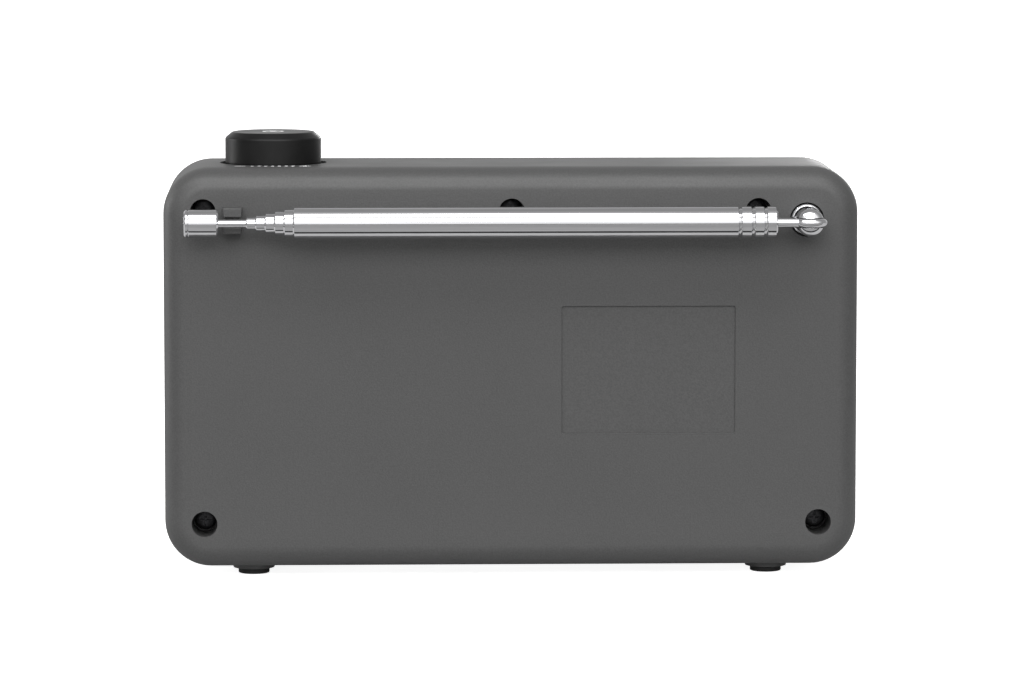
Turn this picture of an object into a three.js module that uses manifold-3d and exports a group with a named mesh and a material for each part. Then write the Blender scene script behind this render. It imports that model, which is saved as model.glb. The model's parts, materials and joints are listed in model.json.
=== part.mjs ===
// Portable table radio: a moulded cabinet closed by a domed rear cover, with a push-and-turn knob on
// top, a speaker, display and six buttons at the front, and a seven-section rod aerial folded along
// the back.
//
// Millimetres, +Z up. The front faces -Y and the back +Y. The origin is on the surface that the radio
// stands on, under the middle of the whole object. Inside this file y = 0 is the parting line between
// cabinet and cover, and the finished group is moved along Y at the end.

import * as THREE from "three";
import { mergeVertices } from "three/addons/utils/BufferGeometryUtils.js";
import Module from "manifold-3d";

const wasm = await Module();
wasm.setup();

// ---------------------------------------------------------------------------------------------
// Driving dimensions
// ---------------------------------------------------------------------------------------------

// Case
const CASE_WIDTH = 175;
const CASE_HEIGHT = 101;
const CABINET_DEPTH = 35.7; // front face to parting line
const COVER_DEPTH = 6.8; // parting line to the flat of the back
const CORNER_RADIUS = 11.7;
const COVER_EDGE = 5.6; // how far the cover's domed edge reaches in from the outline
const FRONT_EDGE = 1.6; // rounding of the front edge
const WALL = 2.2;
const FRONT_WALL = 3;
const PARTING_GAP = 0.3;
const FIT = 0.3; // clearance between parts that drop into each other
const LIP_LENGTH = 2.5; // tongue of the cover inside the cabinet
const LIP_WALL = 1.2;

// Case screws, each at the bottom of a deep well in the back
const SCREW_INSET = 10.1; // from the sides of the case
const SCREW_BOTTOM_INSET = 11.3;
const SCREW_TOP_INSET = 10.9;
const AERIAL_SIDE_SCREW_INSET = 25.5; // the screw that makes room for the aerial's swivel
const WELL_RADIUS = 3.25;
const WELL_WALL = 1.5;
const WELL_DEPTH = 13;
const WELL_FLOOR = 2;
const SCREW_HEAD_RADIUS = 2.8;
const SCREW_HEAD_HEIGHT = 2;
const SCREW_RADIUS = 1.2;
const SCREW_LENGTH = 12;
const POST_RADIUS = 3.75;

// Label recess in the back
const LABEL_WIDTH = 43.8;
const LABEL_HEIGHT = 32.3;
const LABEL_DEPTH = 0.5;
const LABEL_SIDE_INSET = 31.2; // from the aerial's side of the case
const LABEL_TOP_INSET = 34.8;

// Feet
const FOOT_INSET = 22.3; // from the sides of the case
const FOOT_PARTING_INSET = 7; // rear feet forward of the parting line, front feet behind the front face
const FOOT_RING_RADIUS = 5.25;
const FOOT_RING_HEIGHT = 1.4;
const FOOT_PAD_RADIUS = 3.95;
const FOOT_PAD_HEIGHT = 1.4;
const FOOT_STEM_RADIUS = 2;

// Knob and its push-and-turn encoder
const KNOB_RADIUS = 12.2;
const KNOB_HEIGHT = 7.9; // above the top of the case
const KNOB_CHAMFER = 1.8;
const KNOB_CHAMFER_HEIGHT = 1.5;
const KNOB_SIDE_INSET = 27.5;
const KNOB_WALL = 1.8;
const KNOB_TRAVEL = 0.5;
const KNOB_SUNK = 0.2; // the skirt's lower edge below the top of the case
const KNOB_WELL_GAP = 1.4;
const KNOB_WELL_WALL = 1.4;
const ENCODER_SIZE = 12;
const ENCODER_BODY_HEIGHT = 6.5;
const BUSH_RADIUS = 3.5;
const BUSH_WALL_HEIGHT = 2.4;
const SHAFT_RADIUS = 3;

// Display and buttons on the knob's side of the front
const WINDOW_WIDTH = 62;
const WINDOW_SIDE_INSET = 9.5;
const WINDOW_TOP_INSET = 14;
const WINDOW_THICKNESS = 1.5;
const WINDOW_RADIUS = 2;
const WINDOW_LEDGE = 4;
const DISPLAY_MARGIN = 2; // the display reaches this much less than the window on every side
const DISPLAY_THICKNESS = 3.4;
const BUTTON_WIDTH = 14;
const BUTTON_HEIGHT = 7;
const BUTTON_ROW_INSET = 4; // the end buttons from the window's sides
const BUTTON_PITCH_Z = 13;
const BUTTON_BOTTOM_INSET = 22; // the lower row's middle above the underside of the case
const BUTTON_WINDOW_GAP = 9; // the upper row's middle below the window
const BUTTON_PROUD = 1.2;
const BUTTON_TRAVEL = 0.6;
const BUTTON_FLANGE = 1;
const BUTTON_FLANGE_THICKNESS = 0.8;
const BUTTON_STEM = 1.6; // from the flange's face to the switch
const SWITCH_SIZE = 6;
const SWITCH_HEIGHT = 3.2;
const BUTTON_BOARD_MARGIN = 2; // beyond the end switches
const BUTTON_NAMES = [
  ["power_button", "mode_button", "menu_button"],
  ["previous_button", "play_button", "next_button"],
];

// Speaker and grille on the other side
const GRILLE_SIDE_INSET = 6.5;
const GRILLE_TOP_INSET = 10.5;
const GRILLE_WINDOW_GAP = 11;
const GRILLE_RADIUS = 7;
const GRILLE_THICKNESS = 1.2;
const GRILLE_RIM = 6;
const GRILLE_SLOTS = 15;
const GRILLE_SLOT_HEIGHT = 2;
const SPEAKER_INSET = 6; // the speaker's rim inside the grille's edge
const SPEAKER_FLANGE = 5.4;
const GASKET_THICKNESS = 0.8;
const BASKET_DEPTH = 14;
const MAGNET_RADIUS = 18;
const MAGNET_DEPTH = 8;

// Aerial
const SECTION_DIAMETERS = [8, 7, 6, 5, 4, 3, 2];
const SECTION_STEP = 2.35; // how far each section shows beyond the last when pushed in
const TUBE_WALL = 0.25;
const SLIDE_GAP = 0.1;
const AERIAL_TOP_INSET = 13.1; // below the top of the case
const AERIAL_STANDOFF = 9; // its axis behind the back, lying just clear of the clip
const PIVOT_INSET = 13.3; // from the side of the case
const TIP_INSET = 5.6; // the cap's end, from the other side
const TIP_RADIUS = 3.5;
const TIP_LENGTH = 8.6;
const ROD_BARE = 6.75; // bare rod between the last tube and the cap
const TUBE_START = 8.25; // from the hinge pin to the tube's end
const CRIMP_LENGTH = 11; // stretch of the tube that is rolled on to the hinge plug
const CRIMP_WALL = 0.7;
const CRIMP_GROOVES = [2.95, 6.05, 9.35]; // from the tube's end
const GROOVE_HALF = 0.45;
const GROOVE_DEPTH = 0.35;
const MOUTH_LIP = 1.2; // rolled-in mouth that stops the next section
const BUSH_LENGTH = 4; // bush at the inner end of each sliding section
const TAIL_WALL = 1.2; // closed inner end of each sliding tube
const TIP_SOCKET = 5; // how far the rod goes into the cap
const BLADE_THICKNESS = 2.3;
const BLADE_WIDTH = 6;
const BLADE_END_RADIUS = 4.4;
const FORK_RADIUS = 3.5;
const FORK_SLOT = 2.5;
const PIN_RADIUS = 1;
const SWIVEL_DISC_RADIUS = 4;
const SWIVEL_SHAFT_RADIUS = 2.5;
const SWIVEL_SEAT_DEPTH = 3.2; // the disc's seat, below the flat of the back
const SWIVEL_FLOOR = 3;
const SWIVEL_BOSS_WALL = 2;
const LUG_THICKNESS = 0.5;
const WASHER_THICKNESS = 0.7;
const CLIP_WIDTH = 4.9;
const CLIP_UPPER_JAW = 2.3;
const CLIP_LOWER_JAW = 1.7;
const CLIP_SLOT = 2.5;
const CLIP_GRIP = 1; // the rod's axis below the jaws' ends when it is pressed in

// Electronics
const BOARD_THICKNESS = 1.6;
const MAIN_BOARD_FRONT = 12.2; // in front of the parting line
const BOARD_POST_RADIUS = 3;
const BOARD_SCREW_RADIUS = 0.9;
const BOARD_SCREW_LENGTH = 8;
const BOARD_HOLE_INSET = 5;
const BOARD_EDGE_GAP = 1; // between the board's ends and what is next to them
const BOARD_CELL_GAP = 9.4; // between the battery cell and the board's lower edge
const BOARD_MAGNET_GAP = 5;
const ENCODER_BOARD_REACH = 13; // from the knob's axis inwards
const ENCODER_BOARD_DEPTH = 18;
const CHIP_THICKNESS = 1.2;
const CHIPS = [
  [24, 18, 12],
  [47, 8, 8],
]; // each from the board's lower inner corner, with the side of its square
const CAPACITOR_RADIUS = 3;
const CAPACITOR_HEIGHT = 8;
const CAPACITORS = [
  [14, 8],
  [22, 8],
  [30, 8],
];
const TUNER_INSET = 40; // from the board's inner end
const TUNER_TOP_INSET = 5;
const TUNER_WIDTH = 26;
const TUNER_HEIGHT = 14;
const TUNER_DEPTH = 4;
const SOCKET_PITCH = 14;
const SOCKET_DEPTH = 11; // the headphone socket's housing, in from the wall
const SOCKET_SETBACK = 0.5; // the mouths inside the side of the case
const USB_WIDTH = 9;
const USB_HEIGHT = 3.2;
const USB_LENGTH = 8;
const USB_SHEET = 0.4;
const PHONES_RADIUS = 3;
const PHONES_BORE = 1.8;
const PHONES_HOUSING = 7;
const CELL_RADIUS = 9.2;
const CELL_LENGTH = 65;
const CELL_POST_GAP = 10.15; // between the cell's end and the case screw's post beside it
const CRADLE_LENGTH = 39;
const CRADLE_WALL = 1.4;
const LEAD_RADIUS = 0.7;

// Fineness of curved faces
const ARC_STEPS = 4; // half the number of facets in a quarter circle of an outline
const ROUND_SIDES = 24;
const TUBE_SIDES = 20;
const SMALL_SIDES = 12;

// ---------------------------------------------------------------------------------------------
// Planes and places worked out from them
// ---------------------------------------------------------------------------------------------

const bottom = FOOT_RING_HEIGHT + FOOT_PAD_HEIGHT;
const top = bottom + CASE_HEIGHT;
const middle = (bottom + top) / 2;
const side = CASE_WIDTH / 2;
const frontFace = -CABINET_DEPTH;
const frontInside = frontFace + FRONT_WALL;
const backFace = COVER_DEPTH;
const backInside = backFace - WALL;
const wellBottom = backFace - WELL_DEPTH;
const wellEnd = wellBottom - WELL_FLOOR;
const cabinetMiddle = frontFace / 2;

const screwPlaces = [
  ["case_screw_lower_right", side - SCREW_INSET, bottom + SCREW_BOTTOM_INSET],
  ["case_screw_lower_left", SCREW_INSET - side, bottom + SCREW_BOTTOM_INSET],
  ["case_screw_upper_right", side - SCREW_INSET, top - SCREW_TOP_INSET],
  ["case_screw_upper_left", AERIAL_SIDE_SCREW_INSET - side, top - SCREW_TOP_INSET],
  ["case_screw_upper_middle", 0, top - SCREW_TOP_INSET],
];

const footPlaces = [
  ["rear_right", side - FOOT_INSET, -FOOT_PARTING_INSET],
  ["rear_left", FOOT_INSET - side, -FOOT_PARTING_INSET],
  ["front_right", side - FOOT_INSET, frontFace + FOOT_PARTING_INSET],
  ["front_left", FOOT_INSET - side, frontFace + FOOT_PARTING_INSET],
];

const knobX = side - KNOB_SIDE_INSET;
const knobWellRadius = KNOB_RADIUS + KNOB_WELL_GAP;
const wellFloorZ = top - KNOB_SUNK - KNOB_TRAVEL - FIT;

const buttonsZ = bottom + BUTTON_BOTTOM_INSET + BUTTON_PITCH_Z; // upper row
const buttonPitchX = (WINDOW_WIDTH - BUTTON_WIDTH) / 2 - BUTTON_ROW_INSET;
const windowBottom = buttonsZ + BUTTON_WINDOW_GAP;
const windowHeight = top - WINDOW_TOP_INSET - windowBottom;
const windowX = side - WINDOW_SIDE_INSET - WINDOW_WIDTH / 2;
const windowZ = windowBottom + windowHeight / 2;

const grilleLeft = GRILLE_SIDE_INSET - side;
const grilleRight = side - WINDOW_SIDE_INSET - WINDOW_WIDTH - GRILLE_WINDOW_GAP;
const grilleWidth = grilleRight - grilleLeft;
const grilleHeight = CASE_HEIGHT - 2 * GRILLE_TOP_INSET;
const grilleX = (grilleLeft + grilleRight) / 2;
const slotPitch = (grilleHeight - GRILLE_RIM) / (GRILLE_SLOTS + 1);
const speakerRadius = Math.min(grilleWidth, grilleHeight) / 2 - SPEAKER_INSET;
const coneRadius = speakerRadius - SPEAKER_FLANGE;
const magnetRadius = Math.min(MAGNET_RADIUS, coneRadius - 2);

const aerialZ = top - AERIAL_TOP_INSET;
const aerialY = backFace + AERIAL_STANDOFF;
const pivotX = PIVOT_INSET - side;
const aerialReach = 2 * side - PIVOT_INSET - TIP_INSET;
const labelX = LABEL_SIDE_INSET + LABEL_WIDTH / 2 - side;
const labelZ = top - LABEL_TOP_INSET - LABEL_HEIGHT / 2;

// ---------------------------------------------------------------------------------------------
// Materials
// ---------------------------------------------------------------------------------------------

function material(color, roughness, metalness = 0) {
  return new THREE.MeshStandardMaterial({ color, roughness, metalness });
}

const greyPlastic = material(0x5d5d5d, 0.55);
const blackPlastic = material(0x232323, 0.45);
const blackGloss = material(0x0c0c0e, 0.12);
const rubber = material(0x161616, 0.85);
const chrome = material(0xe4e4e6, 0.08, 1);
const zincSteel = material(0xb6b8ba, 0.35, 1);
const boardGreen = material(0x1f5a38, 0.5);
const magnetGrey = material(0x34353a, 0.6);
const conePaper = material(0x1c1c1d, 0.9);
const foam = material(0x2c2c2e, 0.95);
const cellWrap = material(0x2f5f9e, 0.4);
const redWire = material(0x9c1f1c, 0.5);
const blackWire = material(0x18181a, 0.5);

// ---------------------------------------------------------------------------------------------
// Shapes
// ---------------------------------------------------------------------------------------------

// A rounded rectangle about the origin.
function roundedRectangle(width, height, radius) {
  const x = width / 2 - radius;
  const y = height / 2 - radius;
  const shape = new THREE.Shape();
  shape.absarc(x, y, radius, 0, Math.PI / 2);
  shape.absarc(-x, y, radius, Math.PI / 2, Math.PI);
  shape.absarc(-x, -y, radius, Math.PI, 1.5 * Math.PI);
  shape.absarc(x, -y, radius, 1.5 * Math.PI, 2 * Math.PI);
  return shape;
}

// A shape drawn in X and Z, extruded from y = front back to y = rear.
function slab(shape, front, rear, options = {}) {
  const settings = { depth: rear - front, bevelEnabled: false, curveSegments: ARC_STEPS, ...options };
  return new THREE.ExtrudeGeometry(shape, settings).rotateX(Math.PI / 2).translate(0, rear, 0);
}

// The same with its two ends rounded: each end bulges by depth while the outline draws in by inset.
function domedSlab(shape, front, rear, inset, depth, steps) {
  return slab(shape, front + depth, rear - depth, {
    bevelEnabled: true,
    bevelThickness: depth,
    bevelSize: inset,
    bevelOffset: -inset,
    bevelSegments: steps,
  });
}

function block(x, y, z) {
  const geometry = new THREE.BoxGeometry(x[1] - x[0], y[1] - y[0], z[1] - z[0]);
  return geometry.translate((x[0] + x[1]) / 2, (y[0] + y[1]) / 2, (z[0] + z[1]) / 2);
}

// Turns a geometry made about the Y axis so that it runs along another axis.
function along(axis, geometry) {
  if (axis === "x") return geometry.rotateZ(-Math.PI / 2);
  if (axis === "z") return geometry.rotateX(Math.PI / 2);
  return geometry;
}

function cylinder(axis, radius, from, to, sides = ROUND_SIDES) {
  const geometry = new THREE.CylinderGeometry(radius, radius, to - from, sides);
  return along(axis, geometry.translate(0, (from + to) / 2, 0));
}

// A turned part from its [radius, distance along the axis] corners.
function turned(axis, corners, sides = ROUND_SIDES) {
  const profile = corners.map(([radius, distance]) => new THREE.Vector2(radius, distance));
  return along(axis, new THREE.LatheGeometry(profile, sides));
}

// A turned ring: its profile is a rectangle away from the axis.
function ring(axis, inner, outer, from, to, sides = ROUND_SIDES) {
  return turned(axis, [[inner, from], [outer, from], [outer, to], [inner, to], [inner, from]], sides);
}

// ---------------------------------------------------------------------------------------------
// Joining and cutting
// ---------------------------------------------------------------------------------------------

function solid(geometry) {
  const open = geometry.index ? geometry.toNonIndexed() : geometry;
  const bare = new THREE.BufferGeometry().setAttribute("position", open.getAttribute("position"));
  const merged = mergeVertices(bare, 1e-4);
  const vertProperties = merged.getAttribute("position").array;
  const triVerts = new Uint32Array(merged.index.array);
  return new wasm.Manifold(new wasm.Mesh({ numProp: 3, vertProperties, triVerts }));
}

function joined(...geometries) {
  return geometries.map(solid).reduce((whole, piece) => whole.add(piece));
}

function cut(body, ...geometries) {
  return geometries.map(solid).reduce((rest, piece) => rest.subtract(piece), body);
}

function geometryOf(body) {
  const mesh = body.getMesh();
  const geometry = new THREE.BufferGeometry();
  geometry.setAttribute("position", new THREE.BufferAttribute(mesh.vertProperties, 3));
  geometry.setIndex(new THREE.BufferAttribute(mesh.triVerts, 1));
  const faceted = geometry.toNonIndexed();
  faceted.computeVertexNormals();
  return faceted;
}

// One named part. Its shape is a geometry, or a solid that was joined or cut.
function part(name, shape, look, place = [0, 0, 0]) {
  const geometry = shape.isBufferGeometry ? shape : geometryOf(shape);
  const mesh = new THREE.Mesh(geometry, look);
  mesh.name = name;
  mesh.position.set(...place);
  return mesh;
}

// ---------------------------------------------------------------------------------------------
// Case
// ---------------------------------------------------------------------------------------------

function caseOutline(inset) {
  const width = CASE_WIDTH - 2 * inset;
  const height = CASE_HEIGHT - 2 * inset;
  return roundedRectangle(width, height, CORNER_RADIUS - inset);
}

const BEYOND = 40; // how far cutting shapes run past what they cut

function buttonPlaces() {
  return BUTTON_NAMES.flatMap((row, level) =>
    row.map((name, index) => {
      const x = windowX - (1 - index) * buttonPitchX;
      return [name, x, buttonsZ - level * BUTTON_PITCH_Z];
    }),
  );
}

// The moulded body: front, sides, top and bottom, open at the back.
function frontCabinet() {
  const rim = -PARTING_GAP / 2;
  const outside = domedSlab(caseOutline(0), frontFace, BEYOND, FRONT_EDGE, FRONT_EDGE, 3);
  const inside = slab(caseOutline(WALL), frontInside, 2 * BEYOND);
  outside.translate(0, 0, middle);
  inside.translate(0, 0, middle);
  let body = cut(solid(outside), block([-side - 1, side + 1], [rim, 2 * BEYOND], [0, top + 1]), inside);

  for (const [, x, z] of screwPlaces) {
    const post = cylinder("y", POST_RADIUS, frontInside - 1, wellEnd - FIT, ROUND_SIDES);
    body = body.add(solid(post.translate(x, 0, z)));
    const pilotEnd = wellEnd - SCREW_LENGTH;
    const pilot = cylinder("y", SCREW_RADIUS + FIT / 2, pilotEnd, 0, SMALL_SIDES);
    body = cut(body, pilot.translate(x, 0, z));
  }

  // Front: speaker opening behind a shallow seat for the grille, window seat, button holes.
  const seatDepth = GRILLE_THICKNESS + FIT / 2;
  const grilleSeat = roundedRectangle(grilleWidth + 2 * FIT, grilleHeight + 2 * FIT, GRILLE_RADIUS);
  const windowSeat = roundedRectangle(WINDOW_WIDTH + 2 * FIT, windowHeight + 2 * FIT, WINDOW_RADIUS);
  const screenHole = roundedRectangle(WINDOW_WIDTH - 2 * WINDOW_LEDGE, windowHeight - 2 * WINDOW_LEDGE, 1);
  const windowSeatDepth = WINDOW_THICKNESS + FIT / 2;
  body = cut(
    body,
    slab(grilleSeat, frontFace - 1, frontFace + seatDepth).translate(grilleX, 0, middle),
    cylinder("y", coneRadius, frontFace, frontInside + 1).translate(grilleX, 0, middle),
    slab(windowSeat, frontFace - 1, frontFace + windowSeatDepth).translate(windowX, 0, windowZ),
    slab(screenHole, frontFace, frontInside + 1).translate(windowX, 0, windowZ),
  );
  const buttonHole = roundedRectangle(
    BUTTON_WIDTH + 2 * FIT,
    BUTTON_HEIGHT + 2 * FIT,
    BUTTON_HEIGHT / 2 + FIT,
  );
  for (const [, x, z] of buttonPlaces()) {
    const hole = slab(buttonHole, frontFace - 1, frontInside + 1, { curveSegments: 2 });
    body = cut(body, hole.translate(x, 0, z));
  }

  // Top: a shallow well around the knob, thickened underneath, and the bush's hole.
  const wellPad = cylinder("z", knobWellRadius + KNOB_WELL_WALL, wellFloorZ - WALL, top - FRONT_EDGE);
  const knobWell = cylinder("z", knobWellRadius, wellFloorZ, top + 1);
  const bushHole = cylinder("z", BUSH_RADIUS + FIT, wellFloorZ - WALL - 1, top);
  for (const tool of [wellPad, knobWell, bushHole]) tool.translate(knobX, cabinetMiddle, 0);
  body = cut(body.add(solid(wellPad)), knobWell, bushHole);

  // Bottom: a hole for each foot's stem.
  for (const [, x, y] of footPlaces) {
    const stemHole = cylinder("z", FOOT_STEM_RADIUS + FIT, bottom - 1, bottom + WALL + 1, SMALL_SIDES);
    body = cut(body, stemHole.translate(x, y, 0));
  }

  // Side: the power and headphone sockets.
  const usbHalf = USB_WIDTH / 2 + FIT;
  const usbHole = block([side - WALL - 1, side + 1], usbSpan(FIT), [usbZ - usbHalf, usbZ + usbHalf]);
  const phonesHole = cylinder("x", PHONES_RADIUS + FIT, side - WALL - 1, side + 1, SMALL_SIDES);
  return cut(body, usbHole, phonesHole.translate(0, phonesY, phonesZ));
}

// The domed back, with its tongue, screw wells, aerial seat, rod clip and the main board's posts.
function rearCover() {
  const rim = PARTING_GAP / 2;
  const outside = domedSlab(caseOutline(0), -BEYOND, backFace, COVER_EDGE, COVER_DEPTH - rim, 6);
  const innerDome = backInside - rim;
  const inside = domedSlab(caseOutline(WALL), -BEYOND, backInside, COVER_EDGE - WALL / 2, innerDome, 4);
  const tongue = slab(caseOutline(WALL + FIT), -LIP_LENGTH, backInside - WALL / 2);
  const tongueInside = slab(caseOutline(WALL + FIT + LIP_WALL), -BEYOND, backInside - WALL / 2);
  for (const layer of [outside, inside, tongue, tongueInside]) layer.translate(0, 0, middle);
  const ahead = block([-side - 1, side + 1], [-2 * BEYOND, rim], [0, top + 1]);
  const dome = cut(solid(outside), ahead);
  let body = dome.subtract(solid(inside));
  const notchRadius = knobWellRadius + KNOB_WELL_WALL + FIT;
  const knobNotch = cylinder("z", notchRadius, middle, top).translate(knobX, cabinetMiddle, 0);
  const lip = cut(solid(tongue).intersect(dome.add(solid(ahead))), tongueInside, knobNotch);
  body = body.add(lip);

  for (const [, x, z] of screwPlaces) {
    const tube = cylinder("y", WELL_RADIUS + WELL_WALL, wellEnd, backFace - WALL / 2);
    const well = cylinder("y", WELL_RADIUS, wellBottom, backFace + 1);
    const screwHole = cylinder("y", SCREW_RADIUS + FIT, wellEnd - 1, backFace, SMALL_SIDES);
    for (const tool of [tube, well, screwHole]) tool.translate(x, 0, z);
    body = cut(body.add(solid(tube)), well, screwHole);
  }

  const label = roundedRectangle(LABEL_WIDTH, LABEL_HEIGHT, 0.3);
  const labelRecess = slab(label, backFace - LABEL_DEPTH, backFace + 1, { curveSegments: 1 });
  body = cut(body, labelRecess.translate(labelX, 0, labelZ));

  // Seat for the aerial's swivel.
  const seatFloor = backFace - SWIVEL_SEAT_DEPTH;
  const bossRadius = SWIVEL_DISC_RADIUS + FIT + SWIVEL_BOSS_WALL;
  const boss = cylinder("y", bossRadius, seatFloor - SWIVEL_FLOOR, backFace - WALL / 2);
  const seat = cylinder("y", SWIVEL_DISC_RADIUS + FIT, seatFloor, backFace + 1);
  const shaftHole = cylinder("y", SWIVEL_SHAFT_RADIUS + FIT, seatFloor - SWIVEL_FLOOR - 1, backFace);
  for (const tool of [boss, seat, shaftHole]) tool.translate(pivotX, 0, aerialZ);
  body = cut(body.add(solid(boss)), seat, shaftHole);

  // Clip for the bare rod, which is pressed into its slot. The tubes pass over it.
  const clipX = pivotX + aerialReach - TIP_LENGTH - ROD_BARE / 2;
  const jawEnd = aerialY - SECTION_DIAMETERS[1] / 2 - FIT;
  const clip = block(
    [clipX - CLIP_WIDTH / 2, clipX + CLIP_WIDTH / 2],
    [backFace - WALL / 2, jawEnd],
    [aerialZ - CLIP_SLOT / 2 - CLIP_LOWER_JAW, aerialZ + CLIP_SLOT / 2 + CLIP_UPPER_JAW],
  );
  const slot = block(
    [clipX - CLIP_WIDTH, clipX + CLIP_WIDTH],
    [jawEnd - CLIP_GRIP - CLIP_SLOT / 2, jawEnd + 1],
    [aerialZ - CLIP_SLOT / 2, aerialZ + CLIP_SLOT / 2],
  );
  body = cut(body.add(solid(clip)), slot);

  for (const [x, z] of boardHoles()) {
    const post = cylinder("y", BOARD_POST_RADIUS, mainBoardRear + FIT, backFace - WALL / 2, SMALL_SIDES);
    const pilotEnd = mainBoardRear + BOARD_SCREW_LENGTH + FIT;
    const pilot = cylinder("y", BOARD_SCREW_RADIUS + FIT / 2, mainBoardRear, pilotEnd, SMALL_SIDES);
    body = cut(body.add(solid(post.translate(x, 0, z))), pilot.translate(x, 0, z));
  }
  return body;
}

// A pan-head screw standing along Y, its head's underside at y = 0 and its shank towards -Y.
function panScrew(headRadius, headHeight, radius, length) {
  const driveDepth = headHeight * 0.6;
  const corners = [
    [0, -length],
    [radius, 0.6 - length],
    [radius, 0],
    [headRadius, 0],
    [headRadius, headHeight * 0.5],
    [headRadius * 0.8, headHeight],
    [0, headHeight],
  ];
  const arm = headRadius * 0.6;
  const slot = headRadius * 0.12;
  const drive = [headHeight - driveDepth, headHeight + 1];
  return cut(
    solid(turned("y", corners, SMALL_SIDES)),
    block([-arm, arm], drive, [-slot, slot]),
    block([-slot, slot], drive, [-arm, arm]),
  );
}

function caseParts() {
  const parts = [
    part("front_cabinet", frontCabinet(), greyPlastic),
    part("rear_cover", rearCover(), greyPlastic),
  ];
  for (const [name, x, z] of screwPlaces) {
    const screw = panScrew(SCREW_HEAD_RADIUS, SCREW_HEAD_HEIGHT, SCREW_RADIUS, SCREW_LENGTH);
    parts.push(part(name, screw, zincSteel, [x, wellBottom + SLIDE_GAP, z]));
  }
  for (const [corner, x, y] of footPlaces) {
    const gap = SLIDE_GAP;
    const flange = ring(
      "z",
      FOOT_STEM_RADIUS + FIT,
      FOOT_RING_RADIUS,
      FOOT_PAD_HEIGHT,
      bottom - gap,
      ROUND_SIDES,
    );
    const pad = turned(
      "z",
      [
        [0, 0],
        [FOOT_PAD_RADIUS - 0.3, 0],
        [FOOT_PAD_RADIUS, 0.3],
        [FOOT_PAD_RADIUS, FOOT_PAD_HEIGHT - gap],
        [FOOT_STEM_RADIUS, FOOT_PAD_HEIGHT - gap],
        [FOOT_STEM_RADIUS, bottom + WALL - gap],
        [0, bottom + WALL - gap],
      ],
      ROUND_SIDES,
    );
    parts.push(part(`foot_ring_${corner}`, flange, greyPlastic, [x, y, 0]));
    parts.push(part(`foot_pad_${corner}`, pad, rubber, [x, y, 0]));
  }
  return parts;
}

// ---------------------------------------------------------------------------------------------
// Knob and encoder, about the knob's own axis
// ---------------------------------------------------------------------------------------------

const knobTop = top + KNOB_HEIGHT;
const encoderTop = wellFloorZ - WALL - FIT;
const encoderBottom = encoderTop - ENCODER_BODY_HEIGHT;
const shaftBottom = encoderBottom + 2.2;
const shaftTop = knobTop - KNOB_WALL - FIT;

function knob() {
  const skirt = top - KNOB_SUNK;
  const chamferZ = knobTop - KNOB_CHAMFER_HEIGHT;
  const corners = [
    [0, skirt],
    [KNOB_RADIUS, skirt],
    [KNOB_RADIUS, chamferZ],
    [KNOB_RADIUS - KNOB_CHAMFER, knobTop],
    [0, knobTop],
  ];
  const hub = SHAFT_RADIUS + KNOB_WALL;
  const hollow = ring("z", hub, KNOB_RADIUS - KNOB_WALL, skirt - 1, knobTop - KNOB_WALL);
  const bore = cylinder("z", SHAFT_RADIUS + SLIDE_GAP, skirt - 1, shaftTop + SLIDE_GAP);
  return cut(solid(turned("z", corners, 36)), hollow, bore);
}

function encoderBody() {
  const half = ENCODER_SIZE / 2;
  const can = block([-half, half], [-half, half], [encoderBottom, encoderTop]);
  const bush = cylinder("z", BUSH_RADIUS, encoderTop - 1, encoderTop + BUSH_WALL_HEIGHT);
  const bore = cylinder("z", SHAFT_RADIUS + SLIDE_GAP, shaftBottom - 1.4, top);
  return cut(joined(can, bush), bore);
}

function encoderShaft() {
  const flat = SHAFT_RADIUS * 0.55;
  const round = cylinder("z", SHAFT_RADIUS - SLIDE_GAP, shaftBottom, shaftTop);
  const dCut = block([-5, 5], [flat, 5], [top, knobTop]);
  return cut(solid(round), dCut);
}

function knobParts() {
  const boardFace = encoderBottom - SLIDE_GAP;
  const postSide = side - SCREW_INSET - WELL_RADIUS - WELL_WALL - knobX;
  const board = block(
    [-ENCODER_BOARD_REACH, postSide - BOARD_EDGE_GAP],
    [-ENCODER_BOARD_DEPTH / 2, ENCODER_BOARD_DEPTH / 2],
    [boardFace - BOARD_THICKNESS, boardFace],
  );
  const plunger = cylinder("z", 2, shaftBottom - 0.7, shaftBottom - SLIDE_GAP, SMALL_SIDES);
  const axis = [knobX, cabinetMiddle, 0];
  return [
    part("knob", knob(), blackPlastic, axis),
    part("encoder_shaft", encoderShaft(), zincSteel, axis),
    part("encoder_plunger", plunger, blackPlastic, axis),
    part("encoder_body", encoderBody(), zincSteel, axis),
    part("encoder_board", board, boardGreen, axis),
  ];
}

// ---------------------------------------------------------------------------------------------
// Front: speaker, grille, display and buttons
// ---------------------------------------------------------------------------------------------

function grille() {
  const outline = roundedRectangle(grilleWidth, grilleHeight, GRILLE_RADIUS - FIT);
  const slotLength = grilleWidth - 2 * GRILLE_RIM;
  const round = GRILLE_SLOT_HEIGHT / 2;
  for (let i = 0; i < GRILLE_SLOTS; i++) {
    const z = (i - (GRILLE_SLOTS - 1) / 2) * slotPitch;
    const hole = new THREE.Path();
    hole.absarc(slotLength / 2 - round, z, round, -Math.PI / 2, Math.PI / 2);
    hole.absarc(round - slotLength / 2, z, round, Math.PI / 2, 1.5 * Math.PI);
    outline.holes.push(hole);
  }
  return slab(outline, frontFace + FIT / 2, frontFace + GRILLE_THICKNESS, { curveSegments: 2 });
}

const gasketFront = frontInside + SLIDE_GAP;
const flangeFront = gasketFront + GASKET_THICKNESS + SLIDE_GAP;
const basketBack = flangeFront + BASKET_DEPTH;

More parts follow.
